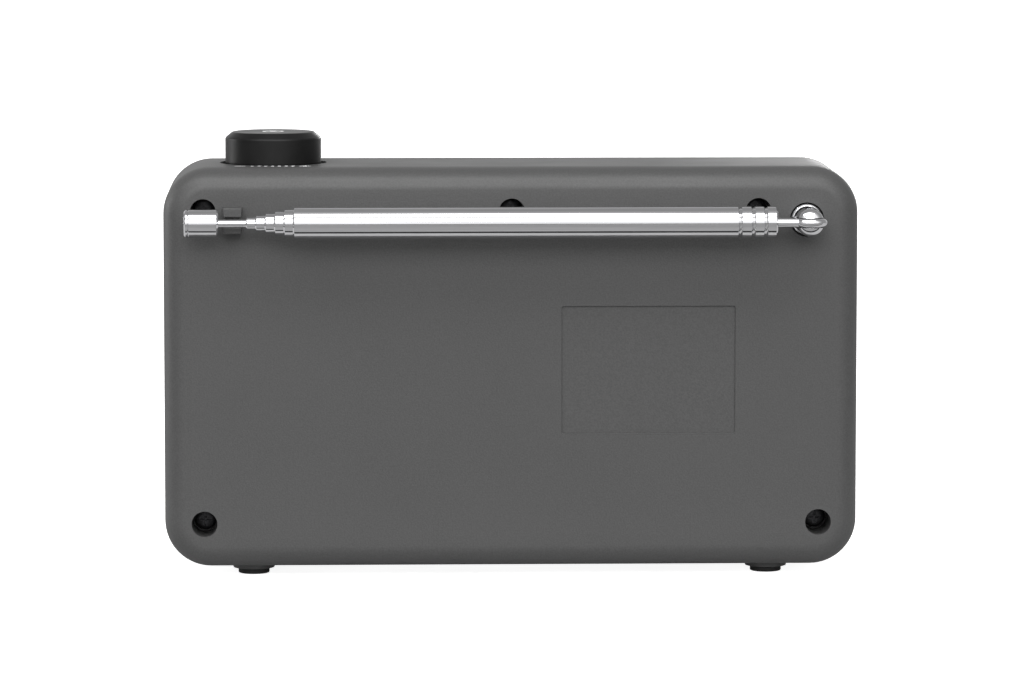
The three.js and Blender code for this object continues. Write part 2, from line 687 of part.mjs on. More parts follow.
function basket() {
  const sheet = 1.2;
  return turned("y", [
    [coneRadius + 1, flangeFront],
    [speakerRadius, flangeFront],
    [speakerRadius, flangeFront + sheet],
    [coneRadius + 1 + sheet, flangeFront + sheet],
    [magnetRadius, basketBack],
    [5, basketBack],
    [5, basketBack - sheet],
    [magnetRadius - sheet, basketBack - sheet],
    [coneRadius + 1, flangeFront + 2 * sheet],
    [coneRadius + 1, flangeFront],
  ]);
}

// Surround roll, cone, dust cap and voice coil as one turned sheet.
function cone() {
  const sheet = 0.6;
  const edge = flangeFront + sheet;
  const throat = basketBack - 4.5;
  return turned("y", [
    [0, throat - 3.4],
    [5, throat - 2.6],
    [8.4, throat],
    [coneRadius - 4.5, edge + 1],
    [coneRadius - 2.4, edge - 1.2],
    [coneRadius - 0.3, edge],
    [coneRadius - 0.3, edge + sheet],
    [coneRadius - 2.4, edge - 1.2 + sheet],
    [coneRadius - 4.5, edge + 1 + sheet],
    [9, throat + sheet],
    [4.4, throat + sheet],
    [4.4, throat + 2.4],
    [4, throat + 2.4],
    [4, throat - 1.4],
    [0, throat - 2.6],
  ]);
}

// A button cap with a flange that keeps it in the cabinet and a stem that reaches its switch.
function button() {
  const cap = roundedRectangle(BUTTON_WIDTH, BUTTON_HEIGHT, BUTTON_HEIGHT / 2);
  const flange = roundedRectangle(
    BUTTON_WIDTH + 2 * BUTTON_FLANGE,
    BUTTON_HEIGHT + 2 * BUTTON_FLANGE,
    BUTTON_HEIGHT / 2 + BUTTON_FLANGE,
  );
  const capFront = frontFace - BUTTON_PROUD;
  const flangeFace = frontInside + SLIDE_GAP;
  const few = { curveSegments: 3 };
  return joined(
    domedSlab(cap, capFront, flangeFace + 0.5, 0.5, 0.4, 2),
    slab(flange, flangeFace, flangeFace + BUTTON_FLANGE_THICKNESS, few),
    cylinder("y", 1.6, flangeFace, flangeFace + BUTTON_STEM, SMALL_SIDES),
  );
}

const switchFront = frontInside + SLIDE_GAP + BUTTON_STEM + BUTTON_TRAVEL + SLIDE_GAP;
const buttonBoardFront = switchFront + SWITCH_HEIGHT;

// Six tactile switches on the board behind the buttons.
function buttonBoard() {
  const places = buttonPlaces();
  const xs = places.map(([, x]) => x);
  const zs = places.map(([, , z]) => z);
  const half = SWITCH_SIZE / 2;
  const reach = half + BUTTON_BOARD_MARGIN;
  const board = block(
    [Math.min(...xs) - reach, Math.max(...xs) + reach],
    [buttonBoardFront, buttonBoardFront + BOARD_THICKNESS],
    [Math.min(...zs) - reach, Math.max(...zs) + reach],
  );
  const switches = places.map(([, x, z]) =>
    block([x - half, x + half], [switchFront, buttonBoardFront + 0.5], [z - half, z + half]),
  );
  return joined(board, ...switches);
}

function frontParts() {
  const screenFront = frontInside + FIT;
  const screen = block(
    [DISPLAY_MARGIN - WINDOW_WIDTH / 2, WINDOW_WIDTH / 2 - DISPLAY_MARGIN],
    [screenFront, screenFront + DISPLAY_THICKNESS],
    [DISPLAY_MARGIN - windowHeight / 2, windowHeight / 2 - DISPLAY_MARGIN],
  );
  const window = roundedRectangle(WINDOW_WIDTH, windowHeight, WINDOW_RADIUS);
  const gasket = ring("y", coneRadius + 1, speakerRadius, gasketFront, gasketFront + GASKET_THICKNESS);
  const speaker = [grilleX, 0, middle];
  const parts = [
    part("speaker_grille", grille(), blackPlastic, speaker),
    part("speaker_gasket", gasket, foam, speaker),
    part("speaker_basket", basket(), zincSteel, speaker),
    part(
      "speaker_magnet",
      cylinder("y", magnetRadius, basketBack + SLIDE_GAP, basketBack + MAGNET_DEPTH),
      magnetGrey,
      speaker,
    ),
    part("speaker_cone", cone(), conePaper, speaker),
    part("display_window", slab(window, frontFace + FIT / 2, frontFace + WINDOW_THICKNESS), blackGloss, [
      windowX,
      0,
      windowZ,
    ]),
    part("display_module", screen, blackGloss, [windowX, 0, windowZ]),
    part("button_board", buttonBoard(), boardGreen),
  ];
  for (const [name, x, z] of buttonPlaces()) parts.push(part(name, button(), blackPlastic, [x, 0, z]));
  return parts;
}

// ---------------------------------------------------------------------------------------------
// Boards, sockets, battery and leads
// ---------------------------------------------------------------------------------------------

const cradleReach = CELL_RADIUS + FIT + CRADLE_WALL;
const cellX = SCREW_INSET + WELL_RADIUS + WELL_WALL + CELL_POST_GAP + CELL_LENGTH / 2 - side;
const cellY = -LIP_LENGTH - FIT - cradleReach;
const cellZ = bottom + WALL + SLIDE_GAP + cradleReach;

const mainBoardFront = -MAIN_BOARD_FRONT;
const mainBoardRear = mainBoardFront + BOARD_THICKNESS;
const boardLeft = grilleX + magnetRadius + BOARD_MAGNET_GAP;
const boardRight = side - WALL - BOARD_EDGE_GAP;
const boardTop = top - SCREW_TOP_INSET - POST_RADIUS - BOARD_EDGE_GAP;
const boardBottom = cellZ + CELL_RADIUS + BOARD_CELL_GAP;

const usbZ = boardBottom + SOCKET_PITCH;
const phonesZ = usbZ + SOCKET_PITCH;
const phonesY = mainBoardFront - SLIDE_GAP - PHONES_HOUSING / 2;

function usbSpan(clearance) {
  const rear = mainBoardFront - SLIDE_GAP;
  return [rear - USB_HEIGHT - clearance, rear + clearance];
}

function boardHoles() {
  const socketEnd = side - WALL - FIT - SOCKET_DEPTH;
  const xs = [boardLeft + BOARD_HOLE_INSET, socketEnd - BOARD_HOLE_INSET];
  const zs = [boardBottom + BOARD_HOLE_INSET, boardTop - BOARD_HOLE_INSET];
  return xs.flatMap((x) => zs.map((z) => [x, z]));
}

// The main board with its chips and capacitors soldered on.
function mainBoard() {
  const chipBack = mainBoardFront + 0.3;
  const chips = CHIPS.map(([x, z, size]) => {
    const onBoard = [mainBoardFront - CHIP_THICKNESS, chipBack];
    return block([x, x + size], onBoard, [z, z + size]).translate(boardLeft, 0, boardBottom);
  });
  const capacitors = CAPACITORS.map(([x, z]) => {
    const can = cylinder("y", CAPACITOR_RADIUS, mainBoardFront - CAPACITOR_HEIGHT, chipBack, SMALL_SIDES);
    return can.translate(boardLeft + x, 0, boardBottom + z);
  });
  const board = block([boardLeft, boardRight], [mainBoardFront, mainBoardRear], [boardBottom, boardTop]);
  const holes = boardHoles().map(([x, z]) => {
    const hole = cylinder("y", BOARD_SCREW_RADIUS + FIT, mainBoardFront - 1, mainBoardRear + 1, SMALL_SIDES);
    return hole.translate(x, 0, z);
  });
  return cut(joined(board, ...chips, ...capacitors), ...holes);
}

// The battery's saddle: a trough on the cabinet's floor that holds the cell's lower half.
function batteryCradle() {
  const half = CRADLE_LENGTH / 2;
  const trough = block([-half, half], [-cradleReach, cradleReach], [-cradleReach, -1]);
  return cut(solid(trough), cylinder("x", CELL_RADIUS + FIT, -CELL_LENGTH, CELL_LENGTH));
}

// A wire along a smooth curve through the given points.
function lead(points) {
  const curve = new THREE.CatmullRomCurve3(points.map((p) => new THREE.Vector3(...p)));
  const section = new THREE.Shape().absarc(0, 0, LEAD_RADIUS, 0, 2 * Math.PI);
  const settings = { steps: 14, extrudePath: curve, curveSegments: 4 };
  return new THREE.ExtrudeGeometry(section, settings);
}

function electronicParts() {
  const wireClear = SLIDE_GAP + LEAD_RADIUS;
  const parts = [
    part("main_board", mainBoard(), boardGreen),
    part(
      "tuner_can",
      block(
        [boardLeft + TUNER_INSET, boardLeft + TUNER_INSET + TUNER_WIDTH],
        [mainBoardFront - TUNER_DEPTH, mainBoardFront - SLIDE_GAP],
        [boardTop - TUNER_TOP_INSET - TUNER_HEIGHT, boardTop - TUNER_TOP_INSET],
      ),
      zincSteel,
    ),
    part("usb_socket", usbSocket(), zincSteel),
    part("headphone_socket", headphoneSocket(), blackPlastic),
    part("battery_cell", cylinder("x", CELL_RADIUS, -CELL_LENGTH / 2, CELL_LENGTH / 2), cellWrap, [
      cellX,
      cellY,
      cellZ,
    ]),
    part("battery_cradle", batteryCradle(), blackPlastic, [cellX, cellY, cellZ]),
  ];
  boardHoles().forEach(([x, z], index) => {
    if (index % 3) return;
    const screw = panScrew(2, 1.3, BOARD_SCREW_RADIUS, BOARD_SCREW_LENGTH);
    const mesh = part(`board_screw_${index ? "upper" : "lower"}`, screw, zincSteel);
    mesh.rotation.x = Math.PI;
    mesh.position.set(x, mainBoardFront - SLIDE_GAP, z);
    parts.push(mesh);
  });

  const magnetBack = basketBack + MAGNET_DEPTH;
  const speakerLead = [
    [grilleX + magnetRadius - 3, magnetBack + wireClear, middle + 3],
    [grilleX + magnetRadius, magnetBack + 2.2, middle + 4],
    [boardLeft, mainBoardRear + 3.2, middle + 3],
    [boardLeft + 3, mainBoardRear + 2, middle + 1],
    [boardLeft + 5, mainBoardRear + wireClear, middle],
  ];
  const cellEnd = cellX + CELL_LENGTH / 2;
  const batteryLead = [
    [cellEnd + wireClear, cellY, cellZ],
    [cellEnd + 4, cellY + 1, cellZ + 3],
    [cellEnd + 8, mainBoardRear + 3, cellZ + 9],
    [cellEnd + 11, mainBoardRear + 3.2, boardBottom + 4],
    [cellEnd + 13, mainBoardRear + wireClear, boardBottom + 8],
  ];
  const lugY = aerialY + lugRear - LUG_THICKNESS - wireClear;
  const aerialLead = [
    [pivotX, lugY, aerialZ - 8],
    [pivotX + 3, lugY - 1, aerialZ - 12],
    [pivotX + 16, lugY - 2, aerialZ - 14],
    [grilleX + 4, magnetBack + 4, aerialZ - 13],
    [boardLeft - 2, mainBoardRear + 3.5, boardTop - 9],
    [boardLeft + 3, mainBoardRear + wireClear, boardTop - 12],
  ];
  parts.push(part("speaker_lead", lead(speakerLead), redWire));
  parts.push(part("battery_lead", lead(batteryLead), redWire));
  parts.push(part("aerial_lead", lead(aerialLead), blackWire));
  return parts;
}

// The power socket's steel shell, open towards the side of the case.
function usbSocket() {
  const [front, rear] = usbSpan(0);
  const mouth = side - SOCKET_SETBACK;
  const half = USB_WIDTH / 2;
  const inner = half - USB_SHEET;
  const shell = block([mouth - USB_LENGTH, mouth], [front, rear], [usbZ - half, usbZ + half]);
  const opening = block(
    [mouth - USB_LENGTH + 1.5, mouth + 1],
    [front + USB_SHEET, rear - USB_SHEET],
    [usbZ - inner, usbZ + inner],
  );
  return cut(solid(shell), opening);
}

function headphoneSocket() {
  const inner = side - WALL - FIT;
  const half = PHONES_HOUSING / 2;
  const housing = block(
    [inner - SOCKET_DEPTH, inner],
    [phonesY - half, phonesY + half],
    [phonesZ - half, phonesZ + half],
  );
  const nose = cylinder("x", PHONES_RADIUS, inner - 1, side - SOCKET_SETBACK, ROUND_SIDES);
  const bore = cylinder("x", PHONES_BORE, inner + 1 - SOCKET_DEPTH, side + 1, SMALL_SIDES);
  for (const tool of [nose, bore]) tool.translate(0, phonesY, phonesZ);
  return cut(joined(housing, nose), bore);
}

// ---------------------------------------------------------------------------------------------
// Aerial, about its hinge pin: X along the folded rod, +Y away from the back
// ---------------------------------------------------------------------------------------------

const seatTop = -AERIAL_STANDOFF - SWIVEL_SEAT_DEPTH;
const shelfRear = seatTop - SWIVEL_FLOOR;
const washerRear = shelfRear - SLIDE_GAP;
const lugRear = washerRear - WASHER_THICKNESS - SLIDE_GAP;
const shaftEnd = lugRear - LUG_THICKNESS - SLIDE_GAP;

// Chrome turntable with a forked, domed head for the hinge.
function swivel() {
  const discBottom = seatTop + FIT;
  const discTop = -AERIAL_STANDOFF + 0.2;
  const dome = [0.25, 0.5, 0.75, 1].map((t) => {
    const angle = (t * Math.PI) / 2;
    return [FORK_RADIUS * Math.cos(angle), 0.9 + (FORK_RADIUS - 0.9) * Math.sin(angle)];
  });
  dome[dome.length - 1][0] = 0;
  const corners = [
    [0, shaftEnd],
    [SWIVEL_SHAFT_RADIUS, shaftEnd],
    [SWIVEL_SHAFT_RADIUS, discBottom],
    [SWIVEL_DISC_RADIUS, discBottom],
    [SWIVEL_DISC_RADIUS, discTop - 0.4],
    [SWIVEL_DISC_RADIUS - 0.4, discTop],
    [FORK_RADIUS, discTop],
    [FORK_RADIUS, 0.9],
    ...dome,
  ];
  const slotFloor = -BLADE_END_RADIUS - FIT;
  return cut(
    solid(turned("y", corners)),
    block([-9, 9], [slotFloor, 9], [-FORK_SLOT / 2, FORK_SLOT / 2]),
    cylinder("z", PIN_RADIUS + SLIDE_GAP, -9, 9, SMALL_SIDES),
    cylinder("y", 0.9, shaftEnd - 1, shaftEnd + 4, SMALL_SIDES),
  );
}

// The hinge blade: a flat tongue with a rounded end, and the plug that the tube is rolled on to.
function blade() {
  const half = BLADE_THICKNESS / 2;
  const round = cylinder("z", BLADE_END_RADIUS, -half, half);
  const tongue = block([0, TUBE_START + 1], [-BLADE_WIDTH / 2, BLADE_WIDTH / 2], [-half, half]);
  const plugEnd = TUBE_START + CRIMP_LENGTH - FIT;
  const plug = cylinder("x", crimpInner - SLIDE_GAP, TUBE_START, plugEnd, TUBE_SIDES);
  return cut(joined(round, tongue, plug), cylinder("z", PIN_RADIUS + SLIDE_GAP, -5, 5, SMALL_SIDES));
}

const crimpInner = SECTION_DIAMETERS[0] / 2 - CRIMP_WALL;
const tubesEnd = aerialReach - TIP_LENGTH - ROD_BARE; // the smallest tube's mouth
const tailStart = TUBE_START + CRIMP_LENGTH + FIT;

function tailAt(index) {
  return tailStart + (index - 1) * (TAIL_WALL + FIT);
}

function mouthAt(index) {
  const tubes = SECTION_DIAMETERS.length - 1;
  return tubesEnd - (tubes - 1 - index) * SECTION_STEP;
}

// The rolled-in mouth of a tube and its bore back to the given distance.
function mouthCorners(index, boreEnd) {
  const radius = SECTION_DIAMETERS[index] / 2;
  const mouth = mouthAt(index);
  const lip = SECTION_DIAMETERS[index + 1] / 2 + SLIDE_GAP;
  return [
    [radius, mouth - 0.4],
    [radius - 0.2, mouth],
    [lip, mouth],
    [lip, mouth - MOUTH_LIP],
    [radius - TUBE_WALL, mouth - MOUTH_LIP],
    [radius - TUBE_WALL, boreEnd],
  ];
}

// The outermost tube, with rolled grooves where it grips the hinge plug.
function baseTube() {
  const radius = SECTION_DIAMETERS[0] / 2;
  const crimpEnd = TUBE_START + CRIMP_LENGTH;
  const grooves = CRIMP_GROOVES.flatMap((distance) => {
    const x = TUBE_START + distance;
    return [
      [radius, x - GROOVE_HALF],
      [radius - GROOVE_DEPTH, x],
      [radius, x + GROOVE_HALF],
    ];
  });
  const corners = [
    [crimpInner, TUBE_START],
    [radius - 0.5, TUBE_START],
    [radius, TUBE_START + 0.5],
    ...grooves,
    ...mouthCorners(0, crimpEnd),
    [crimpInner, crimpEnd],
    [crimpInner, TUBE_START],
  ];
  return turned("x", corners, TUBE_SIDES);
}

// The inner end of a sliding section: a plain bush that fills the tube around it.
function tailCorners(index) {
  const tail = tailAt(index);
  const bush = SECTION_DIAMETERS[index - 1] / 2 - TUBE_WALL - SLIDE_GAP;
  const radius = SECTION_DIAMETERS[index] / 2;
  return [
    [0, tail],
    [bush, tail],
    [bush, tail + BUSH_LENGTH],
    [radius, tail + BUSH_LENGTH],
  ];
}

function slidingTube(index) {
  const boreEnd = tailAt(index) + TAIL_WALL;
  const corners = [...tailCorners(index), ...mouthCorners(index, boreEnd), [0, boreEnd]];
  return turned("x", corners, TUBE_SIDES);
}

function rod() {
  const last = SECTION_DIAMETERS.length - 1;
  const radius = SECTION_DIAMETERS[last] / 2;
  const end = aerialReach - TIP_LENGTH + TIP_SOCKET;
  return turned("x", [...tailCorners(last), [radius, end], [0, end]], TUBE_SIDES);
}

function tipCap() {
  const start = aerialReach - TIP_LENGTH;
  const bore = SECTION_DIAMETERS[SECTION_DIAMETERS.length - 1] / 2 + SLIDE_GAP;
  const corners = [
    [bore, start],
    [TIP_RADIUS - 0.5, start],
    [TIP_RADIUS, start + 0.5],
    [TIP_RADIUS, aerialReach - 0.8],
    [TIP_RADIUS - 0.8, aerialReach],
    [0, aerialReach],
    [0, start + TIP_SOCKET + SLIDE_GAP],
    [bore, start + TIP_SOCKET + SLIDE_GAP],
    [bore, start],
  ];
  return turned("x", corners, TUBE_SIDES);
}

function aerial() {
  const group = new THREE.Group();
  group.position.set(pivotX, aerialY, aerialZ);
  const washer = ring("y", SWIVEL_SHAFT_RADIUS + SLIDE_GAP, 4.6, washerRear - WASHER_THICKNESS, washerRear);
  const lugPlate = joined(
    ring("y", SWIVEL_SHAFT_RADIUS + SLIDE_GAP, 4.4, lugRear - LUG_THICKNESS, lugRear),
    block([-1.2, 1.2], [lugRear - LUG_THICKNESS, lugRear], [-9, -3.6]),
  );
  const pinHalf = FORK_RADIUS - FIT;
  const pin = cylinder("z", PIN_RADIUS, -pinHalf, pinHalf, SMALL_SIDES);
  const screw = part("aerial_screw", panScrew(3.4, 1.4, 0.8, 3.5), zincSteel);
  screw.rotation.x = Math.PI;
  screw.position.y = shaftEnd - SLIDE_GAP;
  group.add(
    part("aerial_swivel", swivel(), chrome),
    part("aerial_hinge_pin", pin, zincSteel),
    part("aerial_washer", washer, zincSteel),
    part("aerial_lug", lugPlate, zincSteel),
    screw,
    part("aerial_blade", blade(), chrome),
    part("aerial_tube_1", baseTube(), chrome),
    part("aerial_rod", rod(), chrome),
    part("aerial_tip", tipCap(), chrome),
  );
  for (let index = 1; index < SECTION_DIAMETERS.length - 1; index++) {
    group.add(part(`aerial_tube_${index + 1}`, slidingTube(index), chrome));
  }
  return group;
}

// ---------------------------------------------------------------------------------------------
// The whole radio, moved so that its origin is under its middle
// ---------------------------------------------------------------------------------------------

const frontmost = frontFace - BUTTON_PROUD;
const rearmost = aerialY + Math.max(BLADE_END_RADIUS, SECTION_DIAMETERS[0] / 2);

const radio = new THREE.Group();
radio.name = "table_radio";
radio.add(...caseParts(), ...knobParts(), ...frontParts(), ...electronicParts(), aerial());
radio.position.y = -(frontmost + rearmost) / 2;

export default radio;
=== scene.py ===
# %% [markdown]
# # A portable table radio, finished for close looks
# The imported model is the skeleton: every part of the radio is in it at its real size, and the moving
# parts hang on bodies that turn and slide. Its faces are flat facets, though, and its colours are
# plain. This lesson gives each part that the eye reaches a smooth shape of its own, and every part a
# finish that behaves like the real material.

# %% Load the fixed frame
import json
import math

import bmesh
import bpy
from mathutils import Matrix, Vector


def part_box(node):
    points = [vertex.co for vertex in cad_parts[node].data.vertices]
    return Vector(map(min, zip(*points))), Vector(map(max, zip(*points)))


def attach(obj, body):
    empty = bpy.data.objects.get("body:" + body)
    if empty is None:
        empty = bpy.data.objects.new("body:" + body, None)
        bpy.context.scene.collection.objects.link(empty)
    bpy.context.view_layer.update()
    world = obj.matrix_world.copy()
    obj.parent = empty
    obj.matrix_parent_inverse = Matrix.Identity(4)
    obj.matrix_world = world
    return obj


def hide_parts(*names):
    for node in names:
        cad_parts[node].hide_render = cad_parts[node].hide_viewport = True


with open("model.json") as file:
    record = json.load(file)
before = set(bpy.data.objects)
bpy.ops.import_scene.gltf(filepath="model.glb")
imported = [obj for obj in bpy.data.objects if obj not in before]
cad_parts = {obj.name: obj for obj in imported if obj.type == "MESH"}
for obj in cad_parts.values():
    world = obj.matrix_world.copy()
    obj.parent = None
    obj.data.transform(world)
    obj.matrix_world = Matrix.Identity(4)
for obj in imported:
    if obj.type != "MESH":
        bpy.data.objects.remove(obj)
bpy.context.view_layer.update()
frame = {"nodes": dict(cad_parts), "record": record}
mm = 0.001

# %% [markdown]
# ## The camera
# A product picture of something this small is taken from well back with a long lens, so that the
# case keeps its square look. The camera looks down by a few degrees, just enough to show a strip of
# the top. Its place is worked out from the case, so it follows the model if that is repacked.

# %% The camera
case_low, case_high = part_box("front_cabinet")
aim_aside, aim_above_middle = 0.24 * mm, 4 * mm
aim = Vector((aim_aside, case_high.y, (case_low.z + case_high.z) / 2 + aim_above_middle))
look_down = math.radians(5.75)
look_aside = math.radians(1.83)
camera_distance = 1.3645
towards_camera = Vector((
    math.sin(look_aside) * math.cos(look_down),
    math.cos(look_aside) * math.cos(look_down),
    math.sin(look_down),
))
lens = bpy.data.cameras.new("product_lens")
lens.lens = 190.6
lens.sensor_width = 36
lens.clip_end = 50
camera = bpy.data.objects.new("product_camera", lens)
camera.location = aim + towards_camera * camera_distance
camera.rotation_euler = (-towards_camera).to_track_quat("-Z", "Y").to_euler()
bpy.context.scene.collection.objects.link(camera)
bpy.context.scene.camera = camera
bpy.context.scene.view_settings.view_transform = "Standard"
print("camera at", [round(v, 3) for v in camera.location], "m")

# %% [markdown]
# ## Adding nodes, and colours
# Every finish below is a small network of nodes. One helper adds a node, sets it up and links it, so
# that the code of a finish reads like a recipe. Colours are given as sRGB hex values, and Blender
# computes with linear ones, so one function turns the first into the second. Most finishes end in the
# same way: patterns drive their colour, roughness and bump. The last helper does that.

# %% Helpers for finishes
def linear(hex_colour):
    """An sRGB hex colour as the linear RGBA that Blender computes with."""
    values = [int(hex_colour[i:i + 2], 16) / 255 for i in (1, 3, 5)]
    return (*[v / 12.92 if v <= 0.04045 else ((v + 0.055) / 1.055) ** 2.4 for v in values], 1)


def add(tree, kind, inputs=None, stops=(), **settings):
    """Adds a node. An input that is a socket is linked, any other is set; stops are a ramp's colours."""
    node = tree.nodes.new(kind)
    for name, value in settings.items():
        setattr(node, name, value)
    for name, value in (inputs or {}).items():
        if isinstance(value, bpy.types.NodeSocket):
            tree.links.new(value, node.inputs[name])
        else:
            node.inputs[name].default_value = value
    for index, (position, colour) in enumerate(stops):
        ramp = node.color_ramp.elements
        stop = ramp[index] if index < 2 else ramp.new(position)
        stop.position, stop.color = position, linear(colour)
    return node


def new_finish(name, **shader_inputs):
    """A material with a Principled shader. Gives it, its tree, the shader and Object coordinates."""
    material = bpy.data.materials.new(name)
    material.use_nodes = True
    tree = material.node_tree
    tree.nodes.clear()
    inputs = {key.replace("_", " "): value for key, value in shader_inputs.items()}
    shader = add(tree, "ShaderNodeBsdfPrincipled", inputs)
    add(tree, "ShaderNodeOutputMaterial", {"Surface": shader.outputs["BSDF"]})
    return material, tree, shader, add(tree, "ShaderNodeTexCoord").outputs["Object"]


def noise(tree, place, size, detail, **more):
    """A noise with its blobs about this many mm apart. Gives the socket that holds its value."""
    inputs = {"Vector": place, "Scale": 1 / (size * mm), "Detail": detail, **more}
    return add(tree, "ShaderNodeTexNoise", inputs).outputs["Fac"]


def cell_pattern(tree, place, size):
    """Cells about this many mm across. Gives the socket with the distance from a cell's middle."""
    inputs = {"Vector": place, "Scale": 1 / (size * mm)}
    return add(tree, "ShaderNodeTexVoronoi", inputs).outputs["Distance"]


def coat(tree, shader, tone, shine, relief, ends=(0, 1)):
    """Lets patterns drive a shader's colour, roughness and bump.

    Tone is a pattern and the stops of a ramp, or a colour socket alone. Shine is a pattern and two
    roughnesses, which belong to the pattern's values in ends. Relief is a pattern, a strength and a
    height in mm."""
    colour, *stops = tone
    if stops:
        colour = add(tree, "ShaderNodeValToRGB", {"Fac": colour}, stops=stops).outputs["Color"]
    span = {"From Min": ends[0], "From Max": ends[1], "To Min": shine[1], "To Max": shine[2]}
    roughness = add(tree, "ShaderNodeMapRange", {"Value": shine[0], **span})
    bump = {"Height": relief[0], "Strength": relief[1], "Distance": relief[2] * mm}
    surface = add(tree, "ShaderNodeBump", bump)
    tree.links.new(colour, shader.inputs["Base Color"])
    tree.links.new(roughness.outputs["Result"], shader.inputs["Roughness"])
    tree.links.new(surface.outputs["Normal"], shader.inputs["Normal"])


finish_for = {}
print("mid grey is", round(linear("#808080")[0], 3), "in linear light")

# %% [markdown]
# ## Textured ABS, for the case
# The case is moulded in charcoal ABS. The steel mould is spark-eroded, which leaves a fine pebbled
# skin with about 0.4 mm from grain to grain. It scatters light, so the broad faces look even and
# matt, while the rounded edges sparkle faintly where they catch the lamp. A noise at that real
# spacing drives the bump and shifts the tone by a hair. A far larger one changes the shine slowly,
# as the flow of the resin does.

# %% Textured ABS
abs_skin, tree, shader, place = new_finish("textured_charcoal_abs", IOR=1.45)
grain = noise(tree, place, 0.4, 2.0)
flow = noise(tree, place, 25, 3.0)
coat(
    tree, shader, (grain, (0.3, "#414141"), (0.7, "#4a4a4a")), (flow, 0.42, 0.5), (grain, 0.8, 0.035),
    ends=(0.3, 0.7),
)
finish_for["case_plastic"] = abs_skin
print("finish", abs_skin.name)

# %% [markdown]
# ## Satin black ABS, for what the hand touches
# Knob, buttons and grille come from a smoother mould, so they have a soft shine. The black isn't
# quite even: handling polishes it here and there, which shows as slow changes in roughness.

# %% Satin black ABS
satin_black, tree, shader, place = new_finish("satin_black_abs", IOR=1.3)
fine = noise(tree, place, 0.25, 2.0)
handled = noise(tree, place, 6, 3.0)
coat(
    tree, shader, (handled, (0.3, "#111111"), (0.7, "#161616")), (handled, 0.3, 0.42), (fine, 0.35, 0.01),
    ends=(0.3, 0.7),
)
finish_for["control_plastic"] = satin_black
print("finish", satin_black.name)

# %% [markdown]
# ## Chromed brass, for the aerial
# Each aerial section is a drawn brass tube with a bright chrome plate. Chrome has almost no colour
# and mirrors whatever stands round it. Drawing leaves hair-fine lines along the tube, and sliding
# the sections adds a few more, so a noise stretched along X breaks the mirror up very slightly.

# %% Chromed brass
chrome, tree, shader, place = new_finish("chromed_drawn_brass", Metallic=1.0)
along, across = 1 / (30 * mm), 1 / (0.35 * mm)
stretched = add(tree, "ShaderNodeMapping", {"Vector": place, "Scale": (along, across, across)})
stretched = stretched.outputs["Vector"]
lines = add(tree, "ShaderNodeTexNoise", {"Vector": stretched, "Scale": 1.0, "Detail": 2.0}).outputs["Fac"]
coat(
    tree, shader, (lines, (0.3, "#dcdcde"), (0.7, "#e8e8ea")), (lines, 0.02, 0.05), (lines, 0.1, 0.004),
    ends=(0.3, 0.7),
)
finish_for["aerial_chrome"] = chrome
print("finish", chrome.name)

# %% [markdown]
# ## Rubber and polished acrylic
# The foot pads are black rubber with a dusty bloom: almost no shine, and paler in patches. The
# display window is its opposite, a polished black acrylic whose only detail is a trace of orange
# peel from the mould and the finest haze.

# %% Rubber and acrylic
rubber, tree, shader, place = new_finish("moulded_foot_rubber", IOR=1.52)
bloom = noise(tree, place, 1.2, 4.0)
coat(tree, shader, (bloom, (0.35, "#141414"), (0.7, "#232323")), (bloom, 0.72, 0.9), (bloom, 0.4, 0.03))
finish_for["foot_rubber"] = rubber

acrylic, tree, shader, place = new_finish("polished_black_acrylic", IOR=1.49)
peel = noise(tree, place, 3, 2.0)
coat(tree, shader, (peel, (0.3, "#0a0a0c"), (0.7, "#0e0e10")), (peel, 0.04, 0.09), (peel, 0.08, 0.01))
finish_for["window_plastic"] = acrylic
print("finishes", rubber.name, acrylic.name)

# %% [markdown]
# ## Zinc plate, black oxide and printed white
# Small screws, shells and the speaker's basket are zinc-plated steel: grey, a little bluish, with the
# spangle of plating crystals a millimetre or so across. The case screws are blackened instead, so that
# they vanish in their wells. The symbols on the controls are pad-printed in white ink, a matt film
# that lies thinner where the pad's grain lifted it.

# %% Zinc and ink
zinc, tree, shader, place = new_finish("zinc_plated_steel", Metallic=1.0)
spangle = cell_pattern(tree, place, 0.9)
coat(
    tree, shader, (spangle, (0.1, "#b4b7ba"), (0.8, "#a3a6aa")), (spangle, 0.28, 0.42), (spangle, 0.2, 0.01)
)
finish_for["plated_steel"] = zinc

blackened, tree, shader, place = new_finish("black_oxide_steel", Metallic=1.0)
oxide = noise(tree, place, 0.7, 4.0)
coat(tree, shader, (oxide, (0.3, "#4e4e50"), (0.7, "#5e5e60")), (oxide, 0.4, 0.55), (oxide, 0.3, 0.01))

white_ink, tree, shader, place = new_finish("pad_printed_white_ink", IOR=1.5)
film = noise(tree, place, 0.3, 2.0)
coat(tree, shader, (film, (0.3, "#dcdcdc"), (0.7, "#ececec")), (film, 0.55, 0.7), (film, 0.2, 0.01))
print("finishes", zinc.name, blackened.name, white_ink.name)

# %% [markdown]
# ## What is inside
# The case hides these parts, but a model that is opened or taken apart shows them. Each one gets the
# pattern that tells what it is: tracks under a green solder mask, the grain of sintered ferrite,
# pulp fibres in the cone, cells in the foam, a sleeve shrunk over the battery, and PVC insulation.

# %% Circuit board and magnet
board, tree, shader, place = new_finish("green_solder_mask", IOR=1.55)
tracks = add(
    tree, "ShaderNodeTexBrick",
    {
        "Vector": place, "Scale": 1.0, "Brick Width": 5 * mm, "Row Height": 1.3 * mm,
        "Mortar Size": 0.18 * mm, "Color1": linear("#1c5534"), "Color2": linear("#1f5e3a"),
        "Mortar": linear("#2f7a4c"),
    },
)
copper = tracks.outputs["Fac"]
coat(tree, shader, (tracks.outputs["Color"],), (copper, 0.3, 0.4), (copper, 0.3, 0.03))
finish_for["board"] = board

